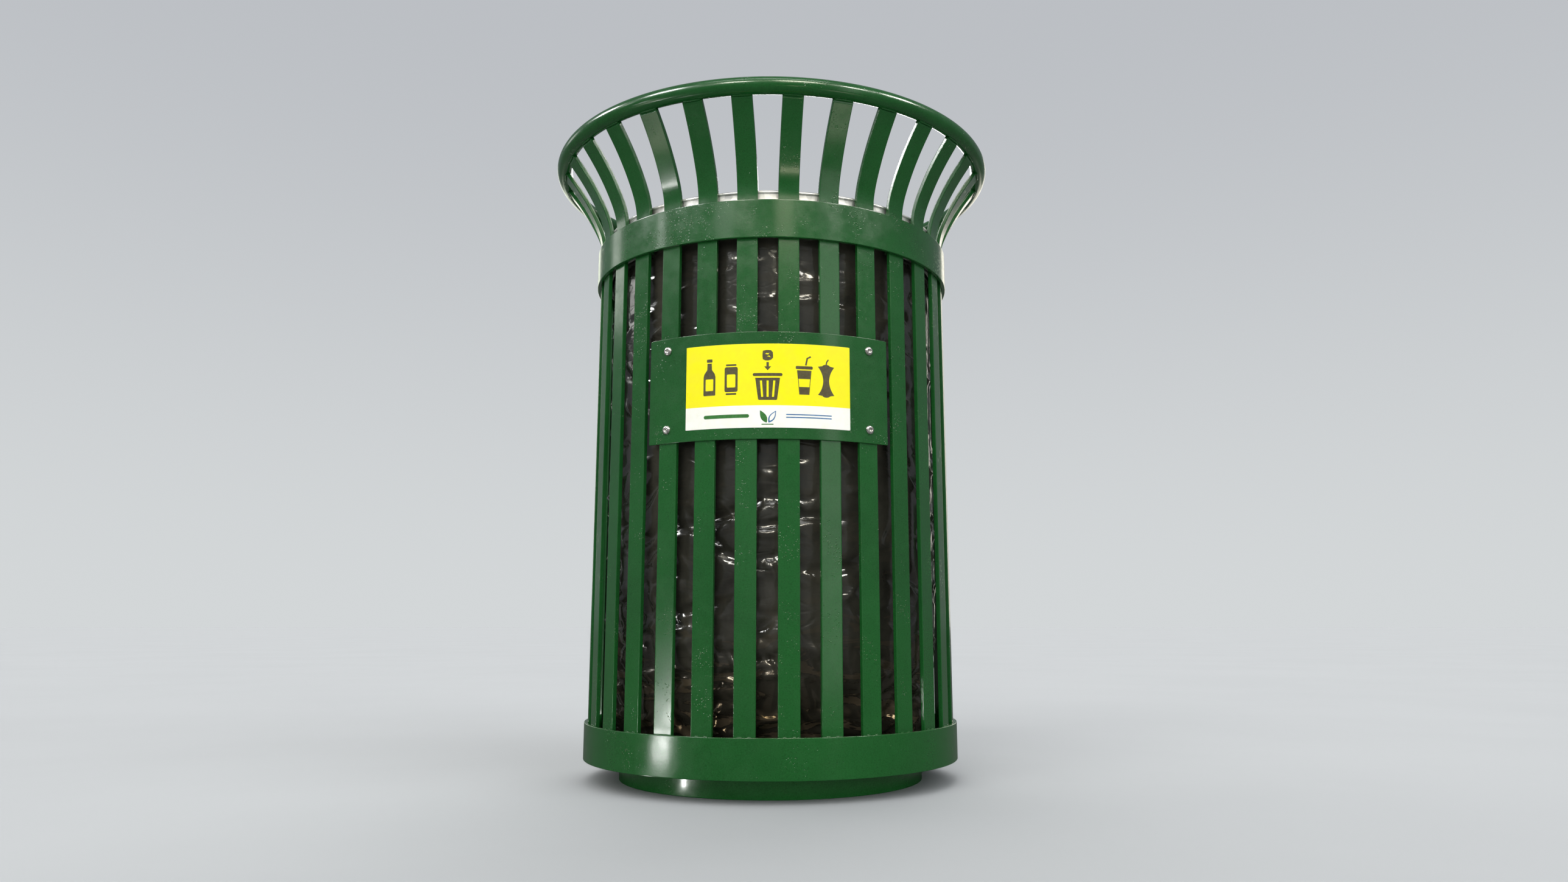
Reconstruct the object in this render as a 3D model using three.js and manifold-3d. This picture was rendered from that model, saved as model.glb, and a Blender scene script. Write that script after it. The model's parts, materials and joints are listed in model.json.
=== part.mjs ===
// Flared-top litter bin of welded steel slats with a drop-in bag ring.
// Units are millimetres, +Z is up. The origin is on the bin's axis, at the
// underside of the base ring. The front (the sign) faces -Y. Angles around the
// bin are in degrees from the front, positive towards +X.

import * as THREE from 'three';
import { mergeVertices } from 'three/addons/utils/BufferGeometryUtils.js';
import Module from 'manifold-3d';

const wasm = await Module();
wasm.setup();

// --------------------------------------------------------- shared dimensions
// Every *_Z pair is [bottom, top].

const GAP = 0.3;                    // clearance left at welded or resting faces
const SEGMENTS = 60;                // facets of every ring; each slat meets one facet squarely
const FACET_ANGLE = 360 / SEGMENTS;
const HALF_FACET = FACET_ANGLE / 2;
const ROUND_HOLE_SIDES = 12;

const SLAT_FACE_R = 288;            // outer flat face of the straight part
const SLAT_THICK = 6.4;
const SLAT_BACK_R = SLAT_FACE_R - SLAT_THICK;
const INSIDE_SLATS_R = SLAT_BACK_R - GAP;   // outer end of what sits against the slats' backs
const WRAP_IN_R = 288.75;           // inner corners of the bands and the sign

const TUBE_R = 354.1;               // top ring: centre line
const TUBE_SECTION_R = 12.4;
const TUBE_Z = 988.3;

const FLOOR_Z = [33.0, 38.0];
const UNDER_FLOOR_Z = FLOOR_Z[0] - GAP;

const SCREW_ANGLES = [-30, 30];
const SCREW_Z = [627.2, 511.0];
const SCREW_HOLE_D = 6.8;
const DRILL_OVERRUN = 5;            // how far a cutting bar passes each face

// ------------------------------------------------------------- solid helpers

const rad = (deg) => THREE.MathUtils.degToRad(deg);

// One closed body with merged corners and its faces pointing out.
function closed(geometry) {
  const bare = geometry.clone();
  for (const name of Object.keys(bare.attributes)) {
    if (name !== 'position') bare.deleteAttribute(name);
  }
  bare.clearGroups();
  const merged = mergeVertices(bare, 1e-4);
  const { position } = merged.attributes;
  const triangles = [];
  let volume = 0;
  for (let i = 0; i < merged.index.count; i += 3) {
    const corners = [0, 1, 2].map((k) => merged.index.getX(i + k));
    if (new Set(corners).size < 3) continue;
    triangles.push(corners);
    const [p0, p1, p2] = corners.map((k) => new THREE.Vector3().fromBufferAttribute(position, k));
    volume += p0.dot(p1.cross(p2));
  }
  if (volume < 0) {
    for (const corners of triangles) [corners[1], corners[2]] = [corners[2], corners[1]];
  }
  merged.setIndex(triangles.flat());
  return merged;
}

function toManifold(geometry) {
  const body = closed(geometry);
  return new wasm.Manifold(new wasm.Mesh({
    numProp: 3,
    vertProperties: new Float32Array(body.attributes.position.array),
    triVerts: new Uint32Array(body.index.array),
  }));
}

function fromManifold(solid) {
  const mesh = solid.getMesh();
  const geometry = new THREE.BufferGeometry();
  const positions = new Float32Array(mesh.vertProperties);
  geometry.setAttribute('position', new THREE.BufferAttribute(positions, 3));
  geometry.setIndex(new THREE.BufferAttribute(new Uint32Array(mesh.triVerts), 1));
  return geometry;
}

function cut(geometry, tools) {
  let solid = toManifold(geometry);
  for (const tool of tools) solid = solid.subtract(toManifold(tool));
  return fromManifold(solid);
}

const vectors = (points) => points.map(([x, y]) => new THREE.Vector2(x, y));

// Body of revolution about the bin's axis from a profile of [r, z].
// A profile that starts and ends on the axis needs no closing side.
function revolve(profile, { segments = SEGMENTS, phase = HALF_FACET, closeProfile = true } = {}) {
  const points = vectors(closeProfile ? [...profile, profile[0]] : profile);
  const geometry = new THREE.LatheGeometry(points, segments, rad(phase), Math.PI * 2);
  geometry.rotateX(Math.PI / 2);
  return closed(geometry);
}

const rectangle = (innerR, outerR, [bottom, top]) => [
  [innerR, bottom], [outerR, bottom], [outerR, top], [innerR, top],
];

// Corners of a regular polygon; its first corner is at an angle from local +X.
function polygon(sides, radius, { firstDeg = 0, centre = [0, 0] } = {}) {
  return Array.from({ length: sides }, (_, i) => {
    const turn = rad(firstDeg + (i * 360) / sides);
    return [centre[0] + radius * Math.cos(turn), centre[1] + radius * Math.sin(turn)];
  });
}

// A prism: the outline and its holes in the XY plane, from bottom to top.
function prism(outline, [bottom, top], holes = []) {
  const shape = new THREE.Shape(vectors(outline));
  shape.holes = holes.map((hole) => new THREE.Path(vectors(hole)));
  const geometry = new THREE.ExtrudeGeometry(shape, {
    depth: top - bottom,
    bevelEnabled: false,
    steps: 1,
  });
  geometry.translate(0, 0, bottom);
  return closed(geometry);
}

// A hexagonal nut standing on the XY plane's Z range.
function hexNut(acrossFlats, boreD, zRange, firstDeg = 0) {
  const outline = polygon(6, acrossFlats / Math.sqrt(3), { firstDeg });
  return prism(outline, zRange, [polygon(ROUND_HOLE_SIDES, boreD / 2)]);
}

// The bar that cuts a screw hole along +X through a wall between two radii.
function screwDrill(innerR, outerR, z) {
  const length = outerR - innerR + 2 * DRILL_OVERRUN;
  const radius = SCREW_HOLE_D / 2;
  const bar = new THREE.CylinderGeometry(radius, radius, length, ROUND_HOLE_SIDES);
  bar.rotateZ(Math.PI / 2);
  bar.translate((innerR + outerR) / 2, 0, z);
  return bar;
}

// The point [x, y] at a radius and an angle from the front.
const polar = (radius, deg) => [radius * Math.sin(rad(deg)), -radius * Math.cos(rad(deg))];

// The Z rotation that turns a piece built along +X to an angle from the front.
const turnTo = (deg) => rad(deg - 90);

// ----------------------------------------------------------------- materials

// Each finish makes a fresh material that carries its piece's name.
const finish = (settings) => (name) => new THREE.MeshStandardMaterial({ name, ...settings });

const paint = finish({ color: 0x235c2d, roughness: 0.38, metalness: 0.0 });
const galvanised = finish({ color: 0xb4b8b6, roughness: 0.45, metalness: 1.0 });
const stainless = finish({ color: 0xc8c8c4, roughness: 0.22, metalness: 1.0 });
const zinc = finish({ color: 0xa9adb0, roughness: 0.35, metalness: 1.0 });
const vinyl = finish({ color: 0xf0e823, roughness: 0.35, metalness: 0.0 });
const film = finish({ color: 0x2d2a28, roughness: 0.3, metalness: 0.0 });
const nylon = finish({ color: 0x1c1d1e, roughness: 0.5, metalness: 0.0 });

const bin = new THREE.Group();

function add(name, geometry, material, parent = bin) {
  const mesh = new THREE.Mesh(geometry, material(name));
  mesh.name = name;
  parent.add(mesh);
  return mesh;
}

function addPlace(x, y, z) {
  const place = new THREE.Group();
  place.position.set(x, y, z);
  bin.add(place);
  return place;
}

// --------------------------------------------------------------------- slats
// Flat bar, wide face outward.

const SLAT_COUNT = 30;
const SLAT_PITCH = 360 / SLAT_COUNT;
const SLAT_FIRST = SLAT_PITCH / 2;          // the sign is centred between two slats
const SLAT_WIDTH = 30.4;
const SLAT_BOTTOM_Z = FLOOR_Z[1] + GAP;
// outer face of the slat through the bend and the flare: [r, z]
const FLARE = [
  [SLAT_FACE_R, 844], [288.8, 860], [292.4, 875], [298.3, 890], [305.6, 905],
  [313.8, 920], [323.0, 935], [333.2, 950], [344.4, 965],
];
const FLARE_END_SLOPE = rad(38);            // from vertical, at the top end
const SLAT_END_REACH = TUBE_SECTION_R + GAP + 0.15;   // clearance circle around the tube

// Run a point [r, z] on along the end slope to the tube's clearance circle.
function runToTube([r, z]) {
  const slopeR = Math.sin(FLARE_END_SLOPE);
  const slopeZ = Math.cos(FLARE_END_SLOPE);
  const fromR = r - TUBE_R;
  const fromZ = z - TUBE_Z;
  const along = fromR * slopeR + fromZ * slopeZ;
  const excess = fromR * fromR + fromZ * fromZ - SLAT_END_REACH * SLAT_END_REACH;
  const distance = -along - Math.sqrt(along * along - excess);
  return [r + slopeR * distance, z + slopeZ * distance];
}

// Side profile of a slat in the plane of radius and height.
function slatProfile() {
  const outer = [[SLAT_FACE_R, SLAT_BOTTOM_Z], ...FLARE];
  const last = outer.length - 1;
  // slope of the outer face from vertical; the first two points end the straight part
  const slopeAt = (i) => {
    if (i <= 1) return 0;
    if (i === last) return FLARE_END_SLOPE;
    const [beforeR, beforeZ] = outer[i - 1];
    const [afterR, afterZ] = outer[i + 1];
    return Math.atan2(afterR - beforeR, afterZ - beforeZ);
  };
  const inner = outer.map(([r, z], i) => [
    r - SLAT_THICK * Math.cos(slopeAt(i)),
    z + SLAT_THICK * Math.sin(slopeAt(i)),
  ]);
  const middle = [0, 1].map((k) => (outer[last][k] + inner[last][k]) / 2);
  const end = [outer[last], middle, inner[last]].map(runToTube);
  return [...outer, ...end, ...inner.reverse()];
}

function slatGeometry() {
  const geometry = prism(slatProfile(), [-SLAT_WIDTH / 2, SLAT_WIDTH / 2]);
  geometry.rotateX(Math.PI / 2);
  return geometry;
}

function addSlats() {
  const plain = slatGeometry();
  const drilled = cut(plain, SCREW_Z.map((z) => screwDrill(SLAT_BACK_R, SLAT_FACE_R, z)));
  const slats = new THREE.Group();
  bin.add(slats);
  for (let i = 0; i < SLAT_COUNT; i++) {
    const angle = SLAT_FIRST + i * SLAT_PITCH;
    const signed = angle > 180 ? angle - 360 : angle;
    const geometry = SCREW_ANGLES.includes(signed) ? drilled : plain;
    const slat = add(`slat_${String(i + 1).padStart(2, '0')}`, geometry, paint, slats);
    slat.rotation.z = turnTo(angle);
  }
}
addSlats();

// ------------------------------------------------------------ rings and bands

const BAND_OUT_R = 294.0;                   // flat bar hoops around the outside of the slats
const UPPER_BAND_Z = [786.3, 843.9];
const LOWER_BAND_Z = [32.5, 87.9];
const BASE_OUT_R = 238;
const BASE_WALL = 5;
const BASE_Z = [0, UNDER_FLOOR_Z];
const TUBE_SIDES = 12;

const addRing = (name, profile) => add(name, revolve(profile), paint);

addRing('top_ring', polygon(TUBE_SIDES, TUBE_SECTION_R, { centre: [TUBE_R, TUBE_Z] }));
addRing('upper_band', rectangle(WRAP_IN_R, BAND_OUT_R, UPPER_BAND_Z));
addRing('lower_band', rectangle(WRAP_IN_R, BAND_OUT_R, LOWER_BAND_Z));
addRing('base_ring', rectangle(BASE_OUT_R - BASE_WALL, BASE_OUT_R, BASE_Z));

// --------------------------------------------------------------- floor plate

const FLOOR_R = 287.6;
const ANCHOR_HOLE_D = 14;
const DRAIN_COUNT = 8;
const DRAIN_HOLE_D = 12;
const DRAIN_HOLE_SIDES = 8;
const DRAIN_PITCH_R = 128;
const FOOT_PITCH_R = 204;
const FOOT_ANGLES = [45, 135, 225, 315];
const FOOT_HOLE_D = 11.4;

function floorGeometry() {
  const anchorHole = polygon(ROUND_HOLE_SIDES, ANCHOR_HOLE_D / 2);
  const drainHoles = Array.from({ length: DRAIN_COUNT }, (_, i) => {
    const centre = polar(DRAIN_PITCH_R, (i * 360) / DRAIN_COUNT);
    return polygon(DRAIN_HOLE_SIDES, DRAIN_HOLE_D / 2, { centre });
  });
  const footHoles = FOOT_ANGLES.map((angle) => {
    const centre = polar(FOOT_PITCH_R, angle);
    return polygon(ROUND_HOLE_SIDES, FOOT_HOLE_D / 2, { centre });
  });
  const outline = polygon(SEGMENTS, FLOOR_R, { firstDeg: HALF_FACET - 90 });
  return prism(outline, FLOOR_Z, [anchorHole, ...drainHoles, ...footHoles]);
}
add('floor_plate', floorGeometry(), paint);

// ------------------------------------------------------- levelling feet, M10

const FOOT_SIDES = 12;
const FOOT_PAD_R = 20;
const FOOT_PAD_Z = [0.5, 7.5];
const FOOT_PAD_CHAMFER = 1.5;               // around the underside
const FOOT_PAD_SHOULDER = { width: 5, height: 2 };    // sloped rim on top
const FOOT_BOSS_R = 9;
const FOOT_BOSS_TOP = FOOT_PAD_Z[1] + 5;
const FOOT_STUD_R = 5;
const FOOT_STUD_TOP = 43;
const FOOT_STUD_CHAMFER = 1;
const FOOT_NUT_AF = 17;                     // across flats
const FOOT_NUT_Z = [12.9, UNDER_FLOOR_Z];   // long nut, so the boss meets it when fully in
const FOOT_NUT_BORE_D = 10.6;

function footGeometry() {
  const [padBottom, padTop] = FOOT_PAD_Z;
  const profile = [
    [0, padBottom],
    [FOOT_PAD_R - FOOT_PAD_CHAMFER, padBottom],
    [FOOT_PAD_R, padBottom + FOOT_PAD_CHAMFER],
    [FOOT_PAD_R, padTop - FOOT_PAD_SHOULDER.height],
    [FOOT_PAD_R - FOOT_PAD_SHOULDER.width, padTop],
    [FOOT_BOSS_R, padTop],
    [FOOT_BOSS_R, FOOT_BOSS_TOP],
    [FOOT_STUD_R, FOOT_BOSS_TOP],
    [FOOT_STUD_R, FOOT_STUD_TOP - FOOT_STUD_CHAMFER],
    [FOOT_STUD_R - FOOT_STUD_CHAMFER, FOOT_STUD_TOP],
    [0, FOOT_STUD_TOP],
  ];
  return revolve(profile, { segments: FOOT_SIDES, phase: 0, closeProfile: false });
}

function addFeet() {
  const foot = footGeometry();
  const nut = hexNut(FOOT_NUT_AF, FOOT_NUT_BORE_D, FOOT_NUT_Z);
  FOOT_ANGLES.forEach((angle, i) => {
    const place = addPlace(...polar(FOOT_PITCH_R, angle), 0);
    add(`levelling_foot_${i + 1}`, foot, nylon, place);
    add(`foot_nut_${i + 1}`, nut, zinc, place);
  });
}
addFeet();

// ---------------------------------------------------------------------- sign

const SIGN_HALF_ANGLE = 36.5;
const SIGN_Z = [491.5, 646.5];
const SIGN_THICK = 2.5;
const FACET_COS = Math.cos(rad(HALF_FACET));          // mid-facet radius / corner radius
const SIGN_OUT_R = WRAP_IN_R + SIGN_THICK / FACET_COS;
const LABEL_HALF_ANGLE = 23.7;
const LABEL_Z = [507.5, 628.5];
const LABEL_THICK = 0.4;
const LABEL_IN_R = SIGN_OUT_R + GAP;
const MIN_FACET_PIECE = 0.5;                // degrees; no corner this close to a plate's end

// A faceted plate around the front, with its corners at the rings' corner angles.
function curvedPlate(halfAngle, innerR, outerR, zRange) {
  const limit = halfAngle - MIN_FACET_PIECE;
  const angles = [-halfAngle];
  for (let angle = -180 + HALF_FACET; angle < 180; angle += FACET_ANGLE) {
    if (angle > -limit && angle < limit) angles.push(angle);
  }
  angles.push(halfAngle);
  // the ends stay on the flat facet that they cut
  const onFacet = (cornerR, angle) => {
    const facetCentre = Math.round(angle / FACET_ANGLE) * FACET_ANGLE;
    return polar((cornerR * FACET_COS) / Math.cos(rad(angle - facetCentre)), angle);
  };
  const outer = angles.map((angle) => onFacet(outerR, angle));
  const inner = angles.map((angle) => onFacet(innerR, angle));
  return prism([...outer, ...inner.reverse()], zRange);
}

function signGeometry() {
  const plate = curvedPlate(SIGN_HALF_ANGLE, WRAP_IN_R, SIGN_OUT_R, SIGN_Z);
  const drills = SCREW_ANGLES.flatMap((angle) => SCREW_Z.map(
    (z) => screwDrill(WRAP_IN_R, SIGN_OUT_R, z).rotateZ(turnTo(angle)),
  ));
  return cut(plate, drills);
}

add('sign_plate', signGeometry(), paint);
add(
  'sign_label',
  curvedPlate(LABEL_HALF_ANGLE, LABEL_IN_R, LABEL_IN_R + LABEL_THICK, LABEL_Z),
  vinyl,
);

// ------------------------------------------------------ sign screws and nuts
// They stand on the flat facets, along the radius through the hole.

const NUT_AF = 10;                          // across flats
const NUT_H = 5;
const NUT_BORE_D = 6.6;
const SCREW_SIDES = 14;
const SCREW_R = 3;
const SCREW_TIP_CHAMFER = 0.6;
const SCREW_TIP_X = SLAT_BACK_R - NUT_H - 1.8;
const HEAD_R = 6.5;
const HEAD_H = 3.6;
const HEAD_RIM_H = 0.7;                     // straight edge under the dome
const HEAD_FOOT_X = SIGN_OUT_R * FACET_COS + GAP;
const HEAD_TOP_X = HEAD_FOOT_X + HEAD_H;
// domed part of the head: [fraction of its radius, fraction of its height]
const HEAD_DOME = [[0.86, 0.62], [0.58, 0.93], [0.42, 1]];
const SOCKET_AF = 4;
const SOCKET_DEPTH = 2.0;

function screwGeometry() {
  // profile: [radius, place along the screw]
  const profile = [
    [0, SCREW_TIP_X],
    [SCREW_R - SCREW_TIP_CHAMFER, SCREW_TIP_X],
    [SCREW_R, SCREW_TIP_X + SCREW_TIP_CHAMFER],
    [SCREW_R, HEAD_FOOT_X],
    [HEAD_R, HEAD_FOOT_X],
    [HEAD_R, HEAD_FOOT_X + HEAD_RIM_H],
    ...HEAD_DOME.map(([across, up]) => [HEAD_R * across, HEAD_FOOT_X + HEAD_H * up]),
    [0, HEAD_TOP_X],
  ];
  const screw = new THREE.LatheGeometry(vectors(profile), SCREW_SIDES);
  screw.rotateZ(-Math.PI / 2);
  // centred on the head's top, so half of its length cuts
  const socketR = SOCKET_AF / Math.sqrt(3);
  const socket = new THREE.CylinderGeometry(socketR, socketR, SOCKET_DEPTH * 2, 6);
  socket.rotateZ(-Math.PI / 2);
  socket.translate(HEAD_TOP_X, 0, 0);
  return cut(screw, [socket]);
}

function nutGeometry() {
  const nut = hexNut(NUT_AF, NUT_BORE_D, [0, NUT_H], 30);
  nut.rotateY(Math.PI / 2);
  nut.translate(INSIDE_SLATS_R - NUT_H, 0, 0);
  return nut;
}

function addFasteners() {
  const screw = screwGeometry();
  const nut = nutGeometry();
  const places = SCREW_Z.flatMap((z) => SCREW_ANGLES.map((angle) => ({ z, angle })));
  places.forEach(({ z, angle }, i) => {
    const place = addPlace(0, 0, z);
    place.rotation.z = turnTo(angle);
    add(`sign_screw_${i + 1}`, screw, stainless, place);
    add(`sign_nut_${i + 1}`, nut, stainless, place);
  });
}
addFasteners();

// --------------------------------------------------------- bag ring and hoop

const BRACKET_Z = [791.0, 795.0];
const ON_BRACKETS_Z = BRACKET_Z[1] + GAP;
const RING_OUT_R = 279.5;
const RING_WALL = 1.8;
const RING_TOP_Z = 863.0;
const BEAD_R = 2.6;                         // rolled bead along the ring's top edge
const BEAD_ARC = [-50, -10, 40, 90, 140, 190, 230];   // degrees, 0 is outward, 90 is up
const HOOP_OUT_R = 274.6;
const HOOP_WALL = 4;
const HOOP_TOP_Z = 853.0;

function bagRingGeometry() {
  const beadCentreR = RING_OUT_R - RING_WALL / 2;
  const beadCentreZ = RING_TOP_Z - BEAD_R;
  return revolve([
    [RING_OUT_R - RING_WALL, ON_BRACKETS_Z],
    [RING_OUT_R, ON_BRACKETS_Z],
    ...BEAD_ARC.map((deg) => [
      beadCentreR + BEAD_R * Math.cos(rad(deg)),
      beadCentreZ + BEAD_R * Math.sin(rad(deg)),
    ]),
  ]);
}

const hoopProfile = rectangle(HOOP_OUT_R - HOOP_WALL, HOOP_OUT_R, [ON_BRACKETS_Z, HOOP_TOP_Z]);

add('bag_ring', bagRingGeometry(), galvanised);
add('clamp_hoop', revolve(hoopProfile), galvanised);

// ----------------------------------------------------------------------- bag

const BAG_FILM = 1.0;
const BAG_TOP_Z = 856.5;
const BAG_TOP_CHAMFER = 2;
const BAG_THROAT_R = 269.8;
const BAG_BOTTOM_Z = 50;
const CUFF_OUT_R = 276.9;
const CUFF_BOTTOM_Z = 806;
const FOLD_Z = HOOP_TOP_Z + 1;              // underside of the fold over the hoop
// outer face of the bag from the centre of its bottom to the throat: [r, z]
const BAG_WALL = [
  [0, BAG_BOTTOM_Z], [168, 49], [206, 60], [229, 80], [244, 110], [255, 150],
  [261, 220], [266, 600], [BAG_THROAT_R, 775],
];
// the inner face is raised by the film on the flat bottom, by less of it outside this radius
const BOTTOM_FLAT_R = 200;
const WALL_RISE = 0.4;                      // fraction of the film

// The wall passes inside the hoop, over its top edge and down between hoop and ring.
function bagGeometry() {
  const cuffInR = CUFF_OUT_R - BAG_FILM;
  const throatInR = BAG_THROAT_R - BAG_FILM;
  const shoulderZ = BAG_TOP_Z - BAG_TOP_CHAMFER;
  const innerWall = BAG_WALL.slice(1).reverse().map(([r, z]) => [
    r - BAG_FILM,
    z + (r > BOTTOM_FLAT_R ? BAG_FILM * WALL_RISE : BAG_FILM),
  ]);
  const profile = [
    ...BAG_WALL,
    [BAG_THROAT_R, FOLD_Z],
    [cuffInR, FOLD_Z],
    [cuffInR, CUFF_BOTTOM_Z],
    [CUFF_OUT_R, CUFF_BOTTOM_Z],
    [CUFF_OUT_R, shoulderZ],
    [CUFF_OUT_R - BAG_TOP_CHAMFER, BAG_TOP_Z],
    [throatInR + BAG_TOP_CHAMFER, BAG_TOP_Z],
    [throatInR, shoulderZ],
    ...innerWall,
    [0, BAG_BOTTOM_Z + BAG_FILM],
  ];
  return revolve(profile, { closeProfile: false });
}
add('bag', bagGeometry(), film);

// ------------------------------------------------------------- ring brackets
// Ledges on the slats' backs, under the bag ring and the hoop.

const BRACKET_ANGLES = [-138, -42, 42, 138];
const BRACKET_HALF_WIDTH = 12;
const BRACKET_IN_R = 271.6;
const BRACKET_CHAMFER = 3;

function bracketGeometry() {
  const chamferR = BRACKET_IN_R + BRACKET_CHAMFER;
  const chamferY = BRACKET_HALF_WIDTH - BRACKET_CHAMFER;
  return prism([
    [BRACKET_IN_R, -chamferY],
    [chamferR, -BRACKET_HALF_WIDTH],
    [INSIDE_SLATS_R, -BRACKET_HALF_WIDTH],
    [INSIDE_SLATS_R, BRACKET_HALF_WIDTH],
    [chamferR, BRACKET_HALF_WIDTH],
    [BRACKET_IN_R, chamferY],
  ], BRACKET_Z);
}

const bracket = bracketGeometry();
BRACKET_ANGLES.forEach((angle, i) => {
  add(`ring_bracket_${i + 1}`, bracket, paint).rotation.z = turnTo(angle);
});

export default bin;
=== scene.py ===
"""A round slatted litter bin with a curved sign, a bag hung from a clamp hoop, and a studio.

Metres, +Z up. The bin's axis is the Z axis, its front faces -Y and it stands on z = 0.
Angles are in degrees round the bin from the front, positive towards +X.
"""
import json
import math
from contextlib import contextmanager

import bpy
import bmesh
import numpy as np
from mathutils import Matrix, Vector

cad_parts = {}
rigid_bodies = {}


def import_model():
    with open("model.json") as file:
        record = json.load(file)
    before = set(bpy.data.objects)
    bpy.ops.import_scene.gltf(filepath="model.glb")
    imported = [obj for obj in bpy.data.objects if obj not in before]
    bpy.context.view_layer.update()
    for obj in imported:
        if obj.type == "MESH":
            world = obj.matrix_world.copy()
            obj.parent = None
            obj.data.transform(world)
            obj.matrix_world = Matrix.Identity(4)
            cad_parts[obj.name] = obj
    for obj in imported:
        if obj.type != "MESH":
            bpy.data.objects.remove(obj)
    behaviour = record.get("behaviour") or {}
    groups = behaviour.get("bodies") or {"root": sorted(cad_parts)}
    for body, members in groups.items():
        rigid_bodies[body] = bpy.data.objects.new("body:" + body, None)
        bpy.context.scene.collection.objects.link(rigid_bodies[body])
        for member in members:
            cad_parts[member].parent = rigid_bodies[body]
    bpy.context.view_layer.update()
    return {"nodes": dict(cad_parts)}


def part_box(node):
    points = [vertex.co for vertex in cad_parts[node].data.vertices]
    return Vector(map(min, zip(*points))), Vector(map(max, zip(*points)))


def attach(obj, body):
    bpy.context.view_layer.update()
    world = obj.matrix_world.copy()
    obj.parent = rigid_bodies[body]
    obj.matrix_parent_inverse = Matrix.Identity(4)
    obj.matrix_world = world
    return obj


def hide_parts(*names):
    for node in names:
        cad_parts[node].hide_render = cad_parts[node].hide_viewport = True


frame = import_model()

scene = bpy.context.scene


def z_span(node):
    """Lowest and highest z of a CAD piece."""
    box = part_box(node)
    return box[0].z, box[1].z


# ---------------------------------------------------------- driving dimensions

LABEL_Z0, LABEL_Z1 = z_span("sign_label")
PLATE_Z0, PLATE_Z1 = z_span("sign_plate")
UPPER_Z0, UPPER_Z1 = z_span("upper_band")
LOWER_Z0, LOWER_Z1 = z_span("lower_band")
PLINTH_Z0, PLINTH_Z1 = z_span("base_ring")
FLOOR_PLATE_Z0, FLOOR_PLATE_Z1 = z_span("floor_plate")
RING_Z0, RING_Z1 = z_span("bag_ring")
CLAMP_Z0, CLAMP_Z1 = z_span("clamp_hoop")
TUBE_Z0, TUBE_Z1 = z_span("top_ring")
SLAT_FOOT = z_span("slat_01")[0]

TUBE_SECTION = (TUBE_Z1 - TUBE_Z0) / 2     # radius of the top ring's tube
TUBE_Z = (TUBE_Z1 + TUBE_Z0) / 2
TUBE_R = 0.3541                            # bin axis to the middle of the tube

SLATS = 30
SLAT_PITCH = 360 / SLATS
SLAT_R = 0.2880                            # outer face of the straight part
SLAT_THICK = 0.0064
SLAT_WIDTH = 0.0304
SLAT_ANGLES = [SLAT_PITCH * (i + 0.5) for i in range(SLATS)]

# outer face of a slat where it bends outward: z, r
FLARE = np.array([
    [0.844, SLAT_R], [0.860, 0.2888], [0.875, 0.2924],
    [0.890, 0.2983], [0.905, 0.3056], [0.920, 0.3138],
    [0.935, 0.3230], [0.950, 0.3332], [0.965, 0.3444],
])
FLARE_END = math.radians(37.5)             # lean of a slat where it meets the tube

BAND_IN, BAND_OUT = 0.2884, 0.2939
PLINTH_IN, PLINTH_OUT = 0.2330, 0.2380
PLATE_IN, PLATE_OUT = BAND_IN, 0.2909      # sign plate, inner and outer face
LABEL_IN, LABEL_OUT = PLATE_OUT + 0.00002, PLATE_OUT + 0.00030
STRIP_TOP = 31.8                           # height of the label's white strip, mm

FOOT_ANGLES = (45, 135, 225, 315)
FOOT_CIRCLE = 0.204                        # bin axis to the middle of a foot


# ------------------------------------------------------------- mesh helpers

def direction(deg):
    """Outward x and y at an angle round the bin."""
    a = np.radians(deg)
    return np.sin(a), -np.cos(a)


def configure(thing, **settings):
    for name, value in settings.items():
        setattr(thing, name, value)


def shade(mesh, smooth):
    mesh.polygons.foreach_set("use_smooth", [smooth] * len(mesh.polygons))


def add_object(name, data):
    ob = bpy.data.objects.new(name, data)
    scene.collection.objects.link(ob)
    return ob


def make_object(name, verts, faces, material):
    mesh = bpy.data.meshes.new(name)
    mesh.from_pydata([tuple(map(float, v)) for v in verts], [],
                     [tuple(map(int, f)) for f in faces])
    mesh.validate(clean_customdata=False)
    mesh.materials.append(material)
    shade(mesh, True)
    mesh.update()
    return add_object(name, mesh)


@contextmanager
def editing(mesh):
    bm = bmesh.new()
    bm.from_mesh(mesh)
    yield bm
    bm.to_mesh(mesh)
    bm.free()


def outward(ob):
    """Turn all faces of a closed mesh outward."""
    with editing(ob.data) as bm:
        bmesh.ops.recalc_face_normals(bm, faces=bm.faces)
    ob.data.update()
    return ob


def evaluated_mesh(ob):
    depsgraph = bpy.context.evaluated_depsgraph_get()
    return bpy.data.meshes.new_from_object(ob.evaluated_get(depsgraph))


def place(ob, body, node=None):
    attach(ob, body)
    if node:
        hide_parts(node)


def place_painted(ob, node=None):
    place(ob, "frame", node)


def corner_arcs(x0, x1, y0, y1, radius, steps):
    """The four corners of a rounded rectangle, each a list of points, anticlockwise."""
    arcs = []
    for cx, cy, start in ((x1 - radius, y0 + radius, -90), (x1 - radius, y1 - radius, 0),
                          (x0 + radius, y1 - radius, 90), (x0 + radius, y0 + radius, 180)):
        angles = [math.radians(start + 90 * i / steps) for i in range(steps + 1)]
        arcs.append([(cx + radius * math.cos(a), cy + radius * math.sin(a)) for a in angles])
    return arcs


def beside(point, other, support):
    """A point a little way from one point towards another."""
    dx, dy = other[0] - point[0], other[1] - point[1]
    length = math.hypot(dx, dy)
    step = min(support, length * 0.3)
    return point[0] + dx / length * step, point[1] + dy / length * step


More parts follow.
